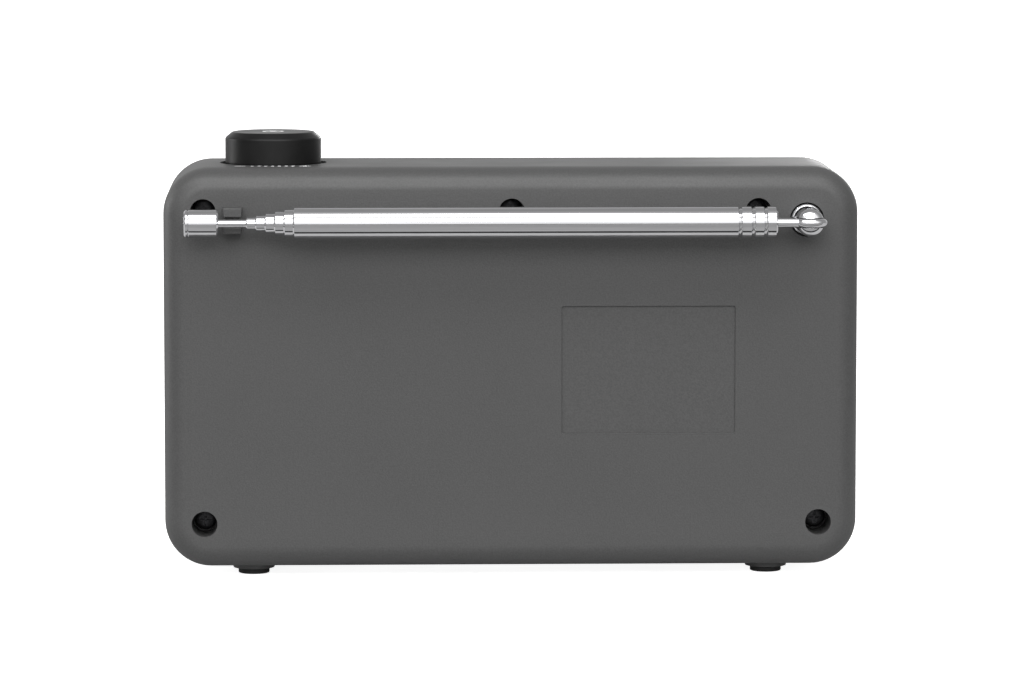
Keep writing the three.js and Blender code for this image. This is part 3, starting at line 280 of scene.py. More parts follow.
ferrite, tree, shader, place = new_finish("sintered_ferrite", IOR=2.0)
sinter = noise(tree, place, 0.8, 5.0)
coat(tree, shader, (sinter, (0.3, "#2d2e32"), (0.7, "#3b3c41")), (sinter, 0.5, 0.75), (sinter, 0.4, 0.05))
finish_for["magnet"] = ferrite
print("finishes", board.name, ferrite.name)

# %% Cone paper and foam
cone_paper, tree, shader, place = new_finish("black_pulp_paper", IOR=1.5)
fibres = noise(tree, place, 0.5, 6.0, Distortion=1.2)
coat(tree, shader, (fibres, (0.3, "#161616"), (0.7, "#262625")), (fibres, 0.8, 0.95), (fibres, 0.6, 0.06))
finish_for["cone_paper"] = cone_paper

foam, tree, shader, place = new_finish("closed_cell_foam", IOR=1.5)
cells = cell_pattern(tree, place, 0.6)
coat(tree, shader, (cells, (0.1, "#1e1e20"), (0.8, "#333336")), (cells, 0.85, 0.98), (cells, 0.7, 0.1))
finish_for["foam"] = foam
print("finishes", cone_paper.name, foam.name)

# %% Battery sleeve and wires
sleeve, tree, shader, place = new_finish("blue_shrink_sleeve", IOR=1.54)
folds = noise(tree, place, 4, 4.0)
coat(tree, shader, (folds, (0.3, "#28568c"), (0.7, "#3262a0")), (folds, 0.25, 0.4), (folds, 0.3, 0.1))
finish_for["cell"] = sleeve

for slot_name, low, high in (("wire_red", "#8f1c19", "#a82421"), ("wire_black", "#141416", "#1e1e20")):
    pvc, tree, shader, place = new_finish("pvc_" + slot_name, IOR=1.54)
    waxy = noise(tree, place, 1.5, 3.0)
    coat(tree, shader, (waxy, (0.3, low), (0.7, high)), (waxy, 0.4, 0.55), (waxy, 0.2, 0.02))
    finish_for[slot_name] = pvc
print(len(finish_for), "finishes for the record's slots")

# %% [markdown]
# ## Dressing the skeleton
# The record says which slot each node takes its finish from. All nodes are dressed first. The ones
# that get a smoother piece later are hidden when that piece is made.

# %% Dress every node
slot_of = {part["node"]: part["material_slot"] for part in frame["record"]["subparts"]}
body_of = {node: body for body, nodes in frame["record"]["behaviour"]["bodies"].items() for node in nodes}
for node, thing in frame["nodes"].items():
    thing.data.materials.clear()
    thing.data.materials.append(finish_for[slot_of[node]])
print("dressed", len(slot_of), "nodes")

# %% [markdown]
# ## Ways to make a shape
# Nearly everything on a radio is turned, moulded or cut. One helper spins an outline round an axis,
# and plain round bars and rings are made with it. Another makes a slab with round corners, as an
# outline with its corner points bevelled and then extruded. The last one joins shapes to a body, or
# cuts them from it.

# %% Turn, extrude, combine
def turn(shape, degrees, axis):
    """Turns a shape about an axis through the origin."""
    matrix = Matrix.Rotation(math.radians(degrees), 3, axis)
    bmesh.ops.rotate(shape, cent=(0, 0, 0), matrix=matrix, verts=shape.verts)


def thicken(shape, by):
    """Extrudes a flat shape by a vector, and makes all its faces look out."""
    grown = bmesh.ops.extrude_face_region(shape, geom=shape.faces[:])["geom"]
    far_end = [v for v in grown if isinstance(v, bmesh.types.BMVert)]
    bmesh.ops.translate(shape, vec=by, verts=far_end)
    bmesh.ops.recalc_face_normals(shape, faces=shape.faces)


def turned(outline, axis, centre, steps=64):
    """Spins an outline of (radius, distance along the axis) in millimetres about an axis."""
    shape = bmesh.new()
    points = [shape.verts.new((radius * mm, 0, distance * mm)) for radius, distance in outline]
    for start, end in zip(points, points[1:]):
        shape.edges.new((start, end))
    bmesh.ops.spin(
        shape, geom=shape.verts[:] + shape.edges[:], cent=(0, 0, 0), axis=(0, 0, 1), dvec=(0, 0, 0),
        angle=2 * math.pi, steps=steps, use_merge=True, use_duplicate=False,
    )
    degrees, about = {"X": (90, "Y"), "Y": (-90, "X"), "Z": (0, "Z")}[axis]
    turn(shape, degrees, about)
    bmesh.ops.translate(shape, vec=centre, verts=shape.verts)
    bmesh.ops.remove_doubles(shape, verts=shape.verts, dist=1e-7)
    bmesh.ops.recalc_face_normals(shape, faces=shape.faces)
    return shape


def round_bar(radius, start, end, axis, centre, steps=64):
    """A round bar. Its radius and its two ends along the axis are in mm."""
    return turned([(0, start), (radius, start), (radius, end), (0, end)], axis, centre, steps)


def ring(inner, outer, start, end, axis, centre, steps=64):
    """A plain ring. Its radii and its two ends along the axis are in mm."""
    outline = [(inner, start), (outer, start), (outer, end), (inner, end), (inner, start)]
    return turned(outline, axis, centre, steps)


def slab(width, height, corner, start, end, x=0, z=0, steps=12):
    """A slab that stands in X and Z, from y = start to y = end. Its width, height and corner are in mm."""
    shape = bmesh.new()
    bmesh.ops.create_grid(shape, x_segments=1, y_segments=1, size=0.5)
    bmesh.ops.scale(shape, vec=(width * mm, height * mm, 1), verts=shape.verts)
    if corner:
        bmesh.ops.bevel(
            shape, geom=shape.verts[:], offset=corner * mm, offset_type="OFFSET", affect="VERTICES",
            segments=steps, profile=0.5, material=-1,
        )
    turn(shape, 90, "X")
    bmesh.ops.translate(shape, vec=(x, start, z), verts=shape.verts)
    thicken(shape, (0, end - start, 0))
    return shape


def gathered(shapes):
    """Several shapes as one, without joining their surfaces."""
    whole = bmesh.new()
    for shape in shapes:
        carrier = bpy.data.meshes.new("carrier")
        shape.to_mesh(carrier)
        whole.from_mesh(carrier)
        bpy.data.meshes.remove(carrier)
        shape.free()
    return whole


def combined(body, tools, operation):
    """The body with the tools joined (UNION) or cut away (DIFFERENCE) by a Boolean modifier."""
    things = []
    for shape in (body, gathered(tools)):
        carrier = bpy.data.objects.new("carrier", bpy.data.meshes.new("carrier"))
        bpy.context.scene.collection.objects.link(carrier)
        shape.to_mesh(carrier.data)
        shape.free()
        things.append(carrier)
    step = things[0].modifiers.new("combine", "BOOLEAN")
    step.operation, step.solver, step.object = operation, "EXACT", things[1]
    evaluated = things[0].evaluated_get(bpy.context.evaluated_depsgraph_get())
    result = bmesh.new()
    result.from_mesh(evaluated.to_mesh())
    for carrier in things:
        bpy.data.meshes.remove(carrier.data)
    return result


print("shape helpers are ready")

# %% [markdown]
# ## Finishing a piece
# No moulded or turned edge is perfectly sharp: a round of a tenth or two of a millimetre catches a
# thin line of light. The Bevel modifier adds it on every edge sharper than a limit. Hardened normals
# keep the broad faces flat, so that only the edge itself looks round.

# %% Finish a piece
def finished(shape, name, stands_for, edge=0.15, sharper=35, finish=None, body=None, rounds=2):
    """Makes the shape an object with rounded edges, its finish and its body, in place of some nodes."""
    mesh = bpy.data.meshes.new(name)
    bmesh.ops.remove_doubles(shape, verts=shape.verts, dist=1e-7)
    shape.to_mesh(mesh)
    shape.free()
    mesh.shade_smooth()
    mesh.set_sharp_from_angle(angle=math.radians(sharper))
    piece = bpy.data.objects.new(name, mesh)
    bpy.context.scene.collection.objects.link(piece)
    if edge:
        round_edge = piece.modifiers.new("moulded_edge", "BEVEL")
        round_edge.width, round_edge.segments = edge * mm, rounds
        round_edge.limit_method, round_edge.angle_limit = "ANGLE", math.radians(sharper)
        round_edge.harden_normals = True
    slot_name = slot_of[stands_for[0]] if stands_for else None
    mesh.materials.append(finish or finish_for[slot_name])
    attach(piece, body or body_of[stands_for[0]])
    if slot_name:
        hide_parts(*stands_for)
    print(name, len(mesh.polygons), "faces")
    return piece


def centre_of(node):
    """The middle of a node's box."""
    low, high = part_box(node)
    return (low + high) / 2


def at_depth(middle, y):
    """The point with a middle's x and z, and this y."""
    return (middle.x, y, middle.z)


def at_height(middle, z):
    """The point with a middle's x and y, and this z."""
    return (middle.x, middle.y, z)


print("knob's middle", [round(v / mm, 1) for v in centre_of("knob")])

# %% [markdown]
# ## The rear cover
# The cover is a shallow dish. Its edge rolls over in a quarter of an ellipse, 5.6 mm in and 6.6 mm
# deep. A bevel only makes circles, so the dish is squeezed in depth, bevelled, and stretched back.
# Inside it are the tubes of the screw wells, the aerial's boss and the tongue that locates it.

# %% Dish of the rear cover
parting_gap, cover_depth = 0.3 * mm, 6.95 * mm
cover_front = case_high.y + parting_gap
back = case_high.y + cover_depth
case_middle = (case_low.z + case_high.z) / 2
case_wide = (case_high.x - case_low.x) / mm
case_tall = (case_high.z - case_low.z) / mm
case_corner, edge_roll = 11.7, 5.6
wall, inner_corner, inner_roll = 2.2, 9.5, 4.5


def dish(inset, start, end, roll, corner):
    """A slab with the case's outline drawn in by inset, its far edge rolled over by roll."""
    depth = end - start
    shape = slab(case_wide - 2 * inset, case_tall - 2 * inset, corner, start, end, z=case_middle, steps=16)
    squeeze = roll * mm / depth
    about = Matrix.Translation((0, -start, 0))
    bmesh.ops.scale(shape, vec=(1, squeeze, 1), space=about, verts=shape.verts)
    far = start + depth * squeeze - 1e-6
    lip = [e for e in shape.edges if min(v.co.y for v in e.verts) > far]
    just_short = roll * mm - 2e-5  # so that the roll never meets the near edge
    bmesh.ops.bevel(
        shape, geom=lip, offset=just_short, offset_type="OFFSET", affect="EDGES", segments=12,
        profile=0.5, material=-1, clamp_overlap=False,
    )
    bmesh.ops.scale(shape, vec=(1, 1 / squeeze, 1), space=about, verts=shape.verts)
    bmesh.ops.recalc_face_normals(shape, faces=shape.faces)
    return shape


inside = dish(wall, cover_front - 1 * mm, back - wall * mm, inner_roll, inner_corner)
cover = combined(dish(0, cover_front, back, edge_roll, case_corner), [inside], "DIFFERENCE")
print("dish is", round((back - cover_front) / mm, 2), "mm deep")

# %% [markdown]
# ### Wells, label recess, aerial seat
# Each case screw sits at the bottom of a well, 13 mm deep, inside a tube that reaches forward to the
# cabinet's posts. The tubes are joined to the dish first. Then one set of tools cuts wells and screw
# holes, the shallow recess for a label, and the seat of the aerial's swivel.

# %% Join and cut the rear cover
case_screws = ["lower_right", "lower_left", "upper_right", "upper_left", "upper_middle"]
well_middles = [centre_of("case_screw_" + where) for where in case_screws]
well_radius, well_depth, well_wall, screw_hole = 3.25, 13, 1.5, 1.5
well_bottom = back - well_depth * mm
knob_middle = centre_of("knob")
swivel_middle = centre_of("aerial_hinge_pin")
tubes = [round_bar(well_radius + well_wall, -2, 12, "Y", at_depth(m, well_bottom)) for m in well_middles]
boss_radius, boss_deep = 6.3, 6.2
boss = round_bar(boss_radius, -boss_deep, -1.1, "Y", at_depth(swivel_middle, back))

tongue_inset, tongue_thick, tongue_corner, tongue_reach = 2.5, 1.2, 9.2, 2.3 * mm
tongue_wide, tongue_tall = case_wide - 2 * tongue_inset, case_tall - 2 * tongue_inset
tongue = slab(
    tongue_wide, tongue_tall, tongue_corner, case_high.y - tongue_reach, cover_front + 1 * mm,
    z=case_middle,
)
tongue_hollow = slab(
    tongue_wide - 2 * tongue_thick, tongue_tall - 2 * tongue_thick, tongue_corner - tongue_thick,
    case_high.y - 4 * mm, cover_front + 3 * mm, z=case_middle,
)
notch_radius = 15.3  # the tongue keeps clear of the knob's seat
knob_notch = round_bar(notch_radius, -20, 2, "Z", at_height(knob_middle, case_high.z))
tongue = combined(tongue, [tongue_hollow], "DIFFERENCE")
tongue = combined(tongue, [knob_notch], "DIFFERENCE")
cover = combined(cover, [*tubes, boss], "UNION")
cover = combined(cover, [tongue], "UNION")

well_outline = [(0, -4), (screw_hole, -4), (screw_hole, 0), (well_radius, 0), (well_radius, 15), (0, 15)]
wells = [turned(well_outline, "Y", at_depth(m, well_bottom)) for m in well_middles]
label_wide, label_tall, label_corner, label_deep = 43.8, 32.3, 0.5, 0.5 * mm
label_x, label_z = case_low.x + 53.1 * mm, case_high.z - 50.95 * mm
label = slab(
    label_wide, label_tall, label_corner, back - label_deep, back + 2 * mm, label_x, label_z, steps=3
)
seat_outline = [(0, -8), (2.8, -8), (2.8, -3.2), (4.3, -3.2), (4.3, 2), (0, 2)]
seat = turned(seat_outline, "Y", at_depth(swivel_middle, back))
cover = combined(cover, [*wells, label, seat], "DIFFERENCE")
finished(cover, "moulded_rear_cover", ["rear_cover"], edge=0.12)

# %% [markdown]
# ### The clip
# Two jaws stand on the back, with a slot between them that holds the bare rod. The upper jaw widens
# towards its top, and a low foot joins the two.

# %% The clip
tip_low, tip_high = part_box("aerial_tip")
tube_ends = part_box("aerial_tube_6")[1].x
clip_x = (tip_low.x + tube_ends) / 2
jaw_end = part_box("rear_cover")[1].y
jaw_wide, half_slot, upper_top, lower_bottom = 4.5, 1.25, 3.55, -2.95
foot_wide, foot_tall, foot_short = 4.6, 6.2, 3.2 * mm


def jaw(bottom, top, flare=1.0):
    """One jaw of the clip, between two heights from the aerial's axis. Flare widens its top."""
    shape = bmesh.new()
    bmesh.ops.create_cube(shape, size=1)
    middle = swivel_middle.z + (bottom + top) / 2 * mm
    root = back - 1 * mm
    bmesh.ops.scale(shape, vec=(jaw_wide * mm, jaw_end - root, (top - bottom) * mm), verts=shape.verts)
    bmesh.ops.translate(shape, vec=(clip_x, (jaw_end + root) / 2, middle), verts=shape.verts)
    upper = [v for v in shape.verts if v.co.z > middle]
    bmesh.ops.scale(shape, vec=(flare, 1, 1), space=Matrix.Translation((-clip_x, 0, 0)), verts=upper)
    return shape


foot_z = swivel_middle.z + 0.2 * mm
clip_foot = slab(foot_wide, foot_tall, 0, back - 1 * mm, jaw_end - foot_short, clip_x, foot_z)
clip = gathered([jaw(half_slot, upper_top, flare=1.08), jaw(lower_bottom, -half_slot), clip_foot])
rod_clip = finished(clip, "rod_clip", [], edge=0.25, finish=abs_skin, body="case", rounds=3)

# %% [markdown]
# ## The front cabinet
# The cabinet is a deep tub, open at the back. It is made like the cover: an outer slab with its front
# edge rounded, an inner slab cut out of it, posts for the screws joined on, and then all openings.

# %% Tub of the cabinet
front, front_wall, front_round = case_low.y, 3 * mm, 1.6 * mm
tub = slab(case_wide, case_tall, case_corner, case_high.y, front, z=case_middle, steps=16)
front_edge = [e for e in tub.edges if max(v.co.y for v in e.verts) < front + 1e-6]
bmesh.ops.bevel(
    tub, geom=front_edge, offset=front_round, offset_type="OFFSET", affect="EDGES", segments=6,
    profile=0.5, material=-1,
)
hollow = slab(
    case_wide - 2 * wall, case_tall - 2 * wall, inner_corner, front + front_wall, case_high.y + 5 * mm,
    z=case_middle,
)
tub = combined(tub, [hollow], "DIFFERENCE")
pilot_hole, post_radius, post_start, post_end = 1.35, 3.75, 2.8, 23.8
post_places = [at_depth(m, front) for m in well_middles]
posts = [ring(pilot_hole, post_radius, post_start, post_end, "Y", p, steps=32) for p in post_places]
knob_seat, pad_radius = case_high.z - 1 * mm, 15
pad = round_bar(pad_radius, -2, -0.8, "Z", at_height(knob_middle, knob_seat))
tub = combined(tub, [*posts, pad], "UNION")
print("tub is", round((case_high.y - front) / mm, 1), "mm deep")

# %% Openings of the cabinet
button_names = [name + "_button" for name in ("power", "mode", "menu", "previous", "play", "next")]
grille_middle, window_middle = centre_of("speaker_grille"), centre_of("display_window")
window_low, window_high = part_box("display_window")
window_wide, window_tall = (window_high.x - window_low.x) / mm, (window_high.z - window_low.z) / mm
grille_wide, grille_tall = 86, 80
button_wide, button_tall = 14, 7
play = 0.6  # what a seat is larger than the part in it, both sides together
knob_seat_radius, shaft_hole = 13.6, 3.8
speaker_mouth, plug_hole, foot_hole, window_edge = 28.6, 3.3, 2.3, 4
outside = front - 1 * mm


def seat_for(wide, tall, corner, depth, middle):
    """The tool for the seat of a part that is set into the front, in mm."""
    return slab(wide + play, tall + play, corner, outside, front + depth * mm, middle.x, middle.z)


seats = [
    seat_for(grille_wide, grille_tall, 7, 1.35, grille_middle),
    seat_for(window_wide, window_tall, 2.3, 1.65, window_middle),
    *[seat_for(button_wide, button_tall, 3.79, 4, centre_of(name)) for name in button_names],
    round_bar(knob_seat_radius, 0, 5, "Z", at_height(knob_middle, knob_seat), steps=96),
]
usb_middle, phones_middle = centre_of("usb_socket"), centre_of("headphone_socket")
phones_place = (case_high.x, phones_middle.y, phones_middle.z)
socket_mouth = slab(3.8, 9.6, 1.6, 0, 8 * mm, steps=4)
turn(socket_mouth, -90, "Z")
socket_place = (case_high.x - 4 * mm, usb_middle.y, usb_middle.z)
bmesh.ops.translate(socket_mouth, vec=socket_place, verts=socket_mouth.verts)
throughs = [
    round_bar(speaker_mouth, 0, 5, "Y", at_depth(grille_middle, front)),
    slab(
        window_wide - 2 * window_edge, window_tall - 2 * window_edge, 1, front, front + 4 * mm,
        window_middle.x, window_middle.z,
    ),
    round_bar(shaft_hole, -5, 1, "Z", at_height(knob_middle, knob_seat)),
    round_bar(plug_hole, -4, 2, "X", phones_place),
    socket_mouth,
    *[
        round_bar(foot_hole, -2, 4, "Z", at_height(centre_of(node), case_low.z), steps=24)
        for node in frame["nodes"] if node.startswith("foot_pad")
    ],
]
tub = combined(tub, seats, "DIFFERENCE")
tub = combined(tub, throughs, "DIFFERENCE")
finished(tub, "moulded_front_cabinet", ["front_cabinet"], edge=0.2)

# %% [markdown]
# ## The knob
# The knob is one moulding: a cap with a broad chamfer round its top, thin walls, and a hub that grips
# the shaft. All of it has the same axis, so one outline spun once makes it.

# %% The knob
knob_low, knob_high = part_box("knob")
room_for_ink = 0.03
under, over = knob_low.z / mm, knob_high.z / mm - room_for_ink
knob_radius, inner_radius, hub_radius, bore_radius = 12.2, 10.4, 4.8, 3.1
chamfer_foot, ceiling, bore_end = over - 1.5, over - 1.8, over - 2.1
knob = turned(
    [
        (0, over), (inner_radius, over), (knob_radius, chamfer_foot), (knob_radius, under),
        (inner_radius, under), (inner_radius, ceiling), (hub_radius, ceiling), (hub_radius, under),
        (bore_radius, under), (bore_radius, bore_end), (0, bore_end),
    ],
    "Z", at_height(knob_middle, 0), steps=96,
)
finished(knob, "knob_cap", ["knob"], edge=0.3, sharper=30, rounds=3)

# %% [markdown]
# ## Printed marks
# The controls carry small white symbols that need no words: a plus, a minus and a row of growing
# ticks by the knob, a ring and a dot on it for "press", and the usual signs on the buttons. Ink is a
# film, so each mark is a plate two hundredths of a millimetre thick, lying on its surface.

# %% Marks on the case and the knob
ink_thick = 0.02


def mark(shapes, name, body):
    """Ink marks as one piece."""
    piece = finished(gathered(shapes), name, [], edge=0, finish=white_ink, body=body)


def bar(wide, tall, corner, middle, faces_up=True):
    """A flat bar of ink, on a face that looks up or on one that looks to the front."""
    shape = slab(wide, tall, corner, 0, ink_thick * mm, steps=4)
    if faces_up:
        turn(shape, 90, "X")
    bmesh.ops.translate(shape, vec=middle, verts=shape.verts)
    return shape


scale_y = (knob_middle.y + knob_seat_radius * mm + case_high.y) / 2
scale_reach, tick_pitch, stroke, long_stroke, stroke_corner = 8.2, 1.7, 0.8, 2.8, 0.2
middle_tick, tick_growth = 1.8, 0.25


def on_scale(x):
    """A place on the volume scale, x mm from the knob's middle."""
    return (knob_middle.x + x * mm, scale_y, case_high.z + ink_thick * mm)


plus = combined(
    bar(long_stroke, stroke, stroke_corner, on_scale(-scale_reach)),
    [bar(stroke, long_stroke, stroke_corner, on_scale(-scale_reach))], "UNION",
)
minus = bar(long_stroke, stroke, stroke_corner, on_scale(scale_reach))
ticks = [
    bar(stroke, middle_tick - tick_growth * step, stroke_corner, on_scale(step * tick_pitch))
    for step in range(-3, 4)
]
mark([plus, minus, *ticks], "volume_scale", "case")
knob_top = at_height(knob_middle, over * mm)
ring_inner, ring_outer, dot_radius = 2.1, 2.8, 0.9
press_ring = ring(ring_inner, ring_outer, 0, ink_thick, "Z", knob_top, steps=48)
press_dot = round_bar(dot_radius, 0, ink_thick, "Z", knob_top, steps=24)
mark([press_ring, press_dot], "press_mark", "knob")

# %% [markdown]
# ## The buttons
# Each button is a pill-shaped cap with softened edges, and a flange behind the panel that keeps it
# from falling out. Its ink lies on the cap's face and rides with it.

# %% Caps and their signs
cap_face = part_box("power_button")[0].y + ink_thick * mm
ink_face = cap_face - ink_thick * mm


def ink(wide, tall, corner, x, z, middle):
    """A bar of ink on a button's face, its place in mm from the button's middle."""
    return bar(wide, tall, corner, (middle.x + x * mm, ink_face, middle.z + z * mm), faces_up=False)


def arrow(x, middle, towards):
    """A filled triangle on a button's face. It points to the side that towards gives, 1 or -1."""
    shape = bmesh.new()
    bmesh.ops.create_circle(shape, cap_ends=True, segments=3, radius=1.0 * mm)
    turn(shape, -90 * towards, "Z")
    turn(shape, 90, "X")
    thicken(shape, (0, ink_thick * mm, 0))
    bmesh.ops.translate(shape, vec=(middle.x + x * mm, ink_face, middle.z), verts=shape.verts)
    return shape


def power_sign(middle):
    """A ring with a bar across its top."""
    circle = ring(1.25, 1.6, 0, ink_thick, "Y", at_depth(middle, ink_face), steps=48)
    return [combined(circle, [ink(0.4, 1.5, 0.1, 0, 1.3, middle)], "UNION")]


signs = {
    "power_button": power_sign,
    "mode_button": lambda m: [ink(0.9, 0.9, 0.43, x, 0, m) for x in (-1.8, 0, 1.8)],
    "menu_button": lambda m: [ink(3.4, 0.4, 0.15, 0, z, m) for z in (-1.1, 0, 1.1)],
    "previous_button": lambda m: [arrow(-0.6, m, -1), arrow(1.1, m, -1), ink(0.4, 1.8, 0.1, -1.9, 0, m)],
    "play_button": lambda m: [arrow(-1.1, m, 1), *[ink(0.45, 1.8, 0.1, x, 0, m) for x in (0.7, 1.6)]],
    "next_button": lambda m: [arrow(-1.1, m, 1), arrow(0.6, m, 1), ink(0.4, 1.8, 0.1, 1.9, 0, m)],
}
flange_near, flange_far, cap_back = front + 3.1 * mm, front + 3.9 * mm, front + 3.6 * mm
flange_more, stem_radius = 2, 1.6
for name in button_names:
    middle = centre_of(name)
    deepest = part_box(name)[1].y
    cap = slab(button_wide, button_tall, 3.49, cap_back, cap_face, middle.x, middle.z)
    flange_wide, flange_tall = button_wide + flange_more, button_tall + flange_more
    flange = slab(flange_wide, flange_tall, 4.49, flange_near, flange_far, middle.x, middle.z)
    stem = round_bar(stem_radius, -1.7, 0, "Y", at_depth(middle, deepest), steps=24)
    finished(gathered([cap, flange, stem]), name.replace("button", "cap"), [name], edge=0.45, rounds=4)
    mark(signs[name](middle), name.replace("button", "sign"), name)

# %% [markdown]
# ## Grille and window
# The grille is a thin panel with fifteen long slots that have round ends. The window is a flush slab
# of acrylic with polished edges.

# %% Grille and window
grille_low, grille_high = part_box("speaker_grille")
panel = slab(grille_wide, grille_tall, 6.7, grille_low.y, grille_high.y, grille_middle.x, grille_middle.z)
slot_wide, slot_tall, slot_end, slot_pitch = 74, 2, 0.99, 4.625
slot_near, slot_far = grille_low.y - 1 * mm, grille_high.y + 1 * mm
slot_heights = [grille_middle.z + step * slot_pitch * mm for step in range(-7, 8)]
slots = [
    slab(slot_wide, slot_tall, slot_end, slot_near, slot_far, grille_middle.x, z, steps=6)
    for z in slot_heights
]
finished(combined(panel, slots, "DIFFERENCE"), "speaker_grille_panel", ["speaker_grille"], edge=0.15)
pane = slab(window_wide, window_tall, 2, window_low.y, window_high.y, window_middle.x, window_middle.z)
finished(pane, "display_pane", ["display_window"], edge=0.25, rounds=3)

# %% [markdown]
# ## Feet
# Each foot is a plastic ring with a rubber pad in it. The pad's stem is pushed up into the case.

# %% Feet
flange_radius, flange_low, flange_high = 5.25, 1.4, 2.7
pad_outline = [(0, 0), (3.95, 0), (3.95, 1.3), (2, 1.3), (2, 4.9), (0, 4.9)]
for corner in ("rear_right", "rear_left", "front_right", "front_left"):
    ground = at_height(centre_of("foot_pad_" + corner), 0)
    flange = ring(foot_hole, flange_radius, flange_low, flange_high, "Z", ground, steps=48)
    finished(flange, "foot_flange_" + corner, ["foot_ring_" + corner], edge=0.15)
    rubber_pad = turned(pad_outline, "Z", ground, steps=48)
    finished(rubber_pad, "foot_rubber_" + corner, ["foot_pad_" + corner], edge=0.3)

# %% [markdown]
# ## The aerial
# Each section is a tube whose mouth is rolled in, so that the next one can't be pulled out. The first
# has three grooves where it is rolled on to its hinge plug. Outlines of radius and distance make all
# of them, and their thin walls stay open at the mouth, as the real ones are.

# %% Sliding sections
radii = {1: 4.0, 2: 3.5, 3: 3.0, 4: 2.5, 5: 2.0, 6: 1.5, 7: 1.0}
tube_wall, bush_step, lip_gap, lip_deep, tail_long = 0.25, 0.35, 0.1, 1.2, 4
aerial_axis = (0, swivel_middle.y, swivel_middle.z)
for number in range(2, 7):
    node = "aerial_tube_%d" % number
    low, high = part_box(node)
    tail, mouth = low.x / mm, high.x / mm
    outer, bush, lip = radii[number], radii[number - 1] - bush_step, radii[number + 1] + lip_gap
    bore = outer - tube_wall
    outline = [
        (0, tail), (bush, tail), (bush, tail + tail_long), (outer, tail + tail_long), (outer, mouth - 0.35),
        (outer - 0.3, mouth), (lip, mouth), (lip, mouth - lip_deep), (bore, mouth - lip_deep),
        (bore, tail + 1.2), (0, tail + 1.2),
    ]
    finished(turned(outline, "X", aerial_axis), "chromed_" + node, [node], edge=0.08, sharper=30)

# %% First section, rod and cap
low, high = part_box("aerial_tube_1")
start, mouth = low.x / mm, high.x / mm
groove = [(4, -0.5), (3.72, -0.25), (3.62, 0), (3.72, 0.25), (4, 0.5)]
grooves = [(radius, start + where + side) for where in (2.95, 6.05, 9.35) for radius, side in groove]
outline = [
    (3.3, start), (3.6, start), (4, start + 0.4), *grooves, (4, mouth - 0.35), (3.7, mouth), (3.6, mouth),
    (3.6, mouth - lip_deep), (3.75, mouth - lip_deep), (3.75, start + 11), (3.3, start + 11), (3.3, start),
]
first_section = turned(outline, "X", aerial_axis)
finished(first_section, "chromed_aerial_tube_1", ["aerial_tube_1"], edge=0.08, sharper=30)
rod_low, rod_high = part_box("aerial_rod")
tail, end = rod_low.x / mm, rod_high.x / mm
outline = [(0, tail), (1.15, tail), (1.15, tail + tail_long), (1, tail + tail_long), (1, end), (0, end)]
finished(turned(outline, "X", aerial_axis, steps=48), "chromed_aerial_rod", ["aerial_rod"], edge=0.05)
start, end = tip_low.x / mm, tip_high.x / mm
outline = [
    (1.1, start), (3.0, start), (3.5, start + 0.5), (3.5, end - 1.2), (3.35, end - 1.1),
    (3.35, end - 0.95), (3.5, end - 0.85), (3.5, end - 0.4), (3.1, end), (0, end), (0, start + 5.1),
    (1.1, start + 5.1), (1.1, start),
]
finished(turned(outline, "X", aerial_axis), "chromed_aerial_cap", ["aerial_tip"], edge=0.08, sharper=30)

# %% [markdown]
# ### Swivel and hinge
# A round turntable sits in the back and carries a small dome. A slot across the dome makes it a fork,
# a pin goes through both cheeks, and the blade between them carries the aerial. The blade's edges are
# rolled fully round, so it shows the same white and grey bands as the tubes.

# %% Swivel and hinge
axis_y = swivel_middle.y
angles = [step * math.pi / 24 for step in range(1, 12)]
dome_radius, dome_base, dome_rise, fork_gap, pin_radius, hole_radius = 3.5, 0.9, 2.6, 2.5, 1, 1.1
dome = [(dome_radius * math.cos(a), dome_base + dome_rise * math.sin(a)) for a in angles]
bottom = (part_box("aerial_swivel")[0].y - axis_y) / mm
disc = (back - axis_y) / mm
outline = [
    (0.9, bottom), (2.5, bottom), (2.5, disc - 2.9), (4, disc - 2.9), (4, disc - 0.2), (3.6, disc + 0.2),
    (dome_radius, disc + 0.2), (dome_radius, dome_base), *dome, (0, dome_base + dome_rise),
    (0, bottom + 4), (0.9, bottom + 4), (0.9, bottom),
]
head = turned(outline, "Y", swivel_middle)
fork_slot = slab(20, fork_gap, 0, axis_y - 4.7 * mm, axis_y + 9 * mm, swivel_middle.x, swivel_middle.z)


def pin_hole():
    """The tool that drills the hinge pin's hole."""
    return round_bar(hole_radius, -9, 9, "Z", swivel_middle, steps=32)


head = combined(combined(head, [fork_slot], "DIFFERENCE"), [pin_hole()], "DIFFERENCE")
finished(head, "chromed_swivel", ["aerial_swivel"], edge=0.15, sharper=30)
half_pin = 3.2
pin = round_bar(pin_radius, -half_pin, half_pin, "Z", swivel_middle, steps=32)
finished(pin, "hinge_pin", ["aerial_hinge_pin"], edge=0.15)

half_thick, flat_radius, rim_reach = 1.15, 3.3, 1.1
angles = [step * math.pi / 16 for step in range(-7, 8)]
round_rim = [(flat_radius + rim_reach * math.cos(a), half_thick * math.sin(a)) for a in angles]
cheek = turned(
    [(0, -half_thick), (flat_radius, -half_thick), *round_rim, (flat_radius, half_thick), (0, half_thick)],
    "Z", swivel_middle,
)
plug_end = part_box("aerial_blade")[1].x / mm - swivel_middle.x / mm
plug_radius, plug_start = 3.2, 8.25
plug = round_bar(plug_radius, plug_start, plug_end, "X", swivel_middle)
strap_wide, strap_thick, strap_long = 6, 2.29, 9.3 * mm
strap = slab(strap_wide, strap_thick, rim_reach, -strap_long, -0.01 * mm, steps=8)
turn(strap, 90, "Z")
bmesh.ops.translate(strap, vec=swivel_middle, verts=strap.verts)
blade = combined(combined(cheek, [strap], "UNION"), [plug], "UNION")
blade = combined(blade, [pin_hole()], "DIFFERENCE")
finished(blade, "chromed_hinge_blade", ["aerial_blade"], edge=0, sharper=30)

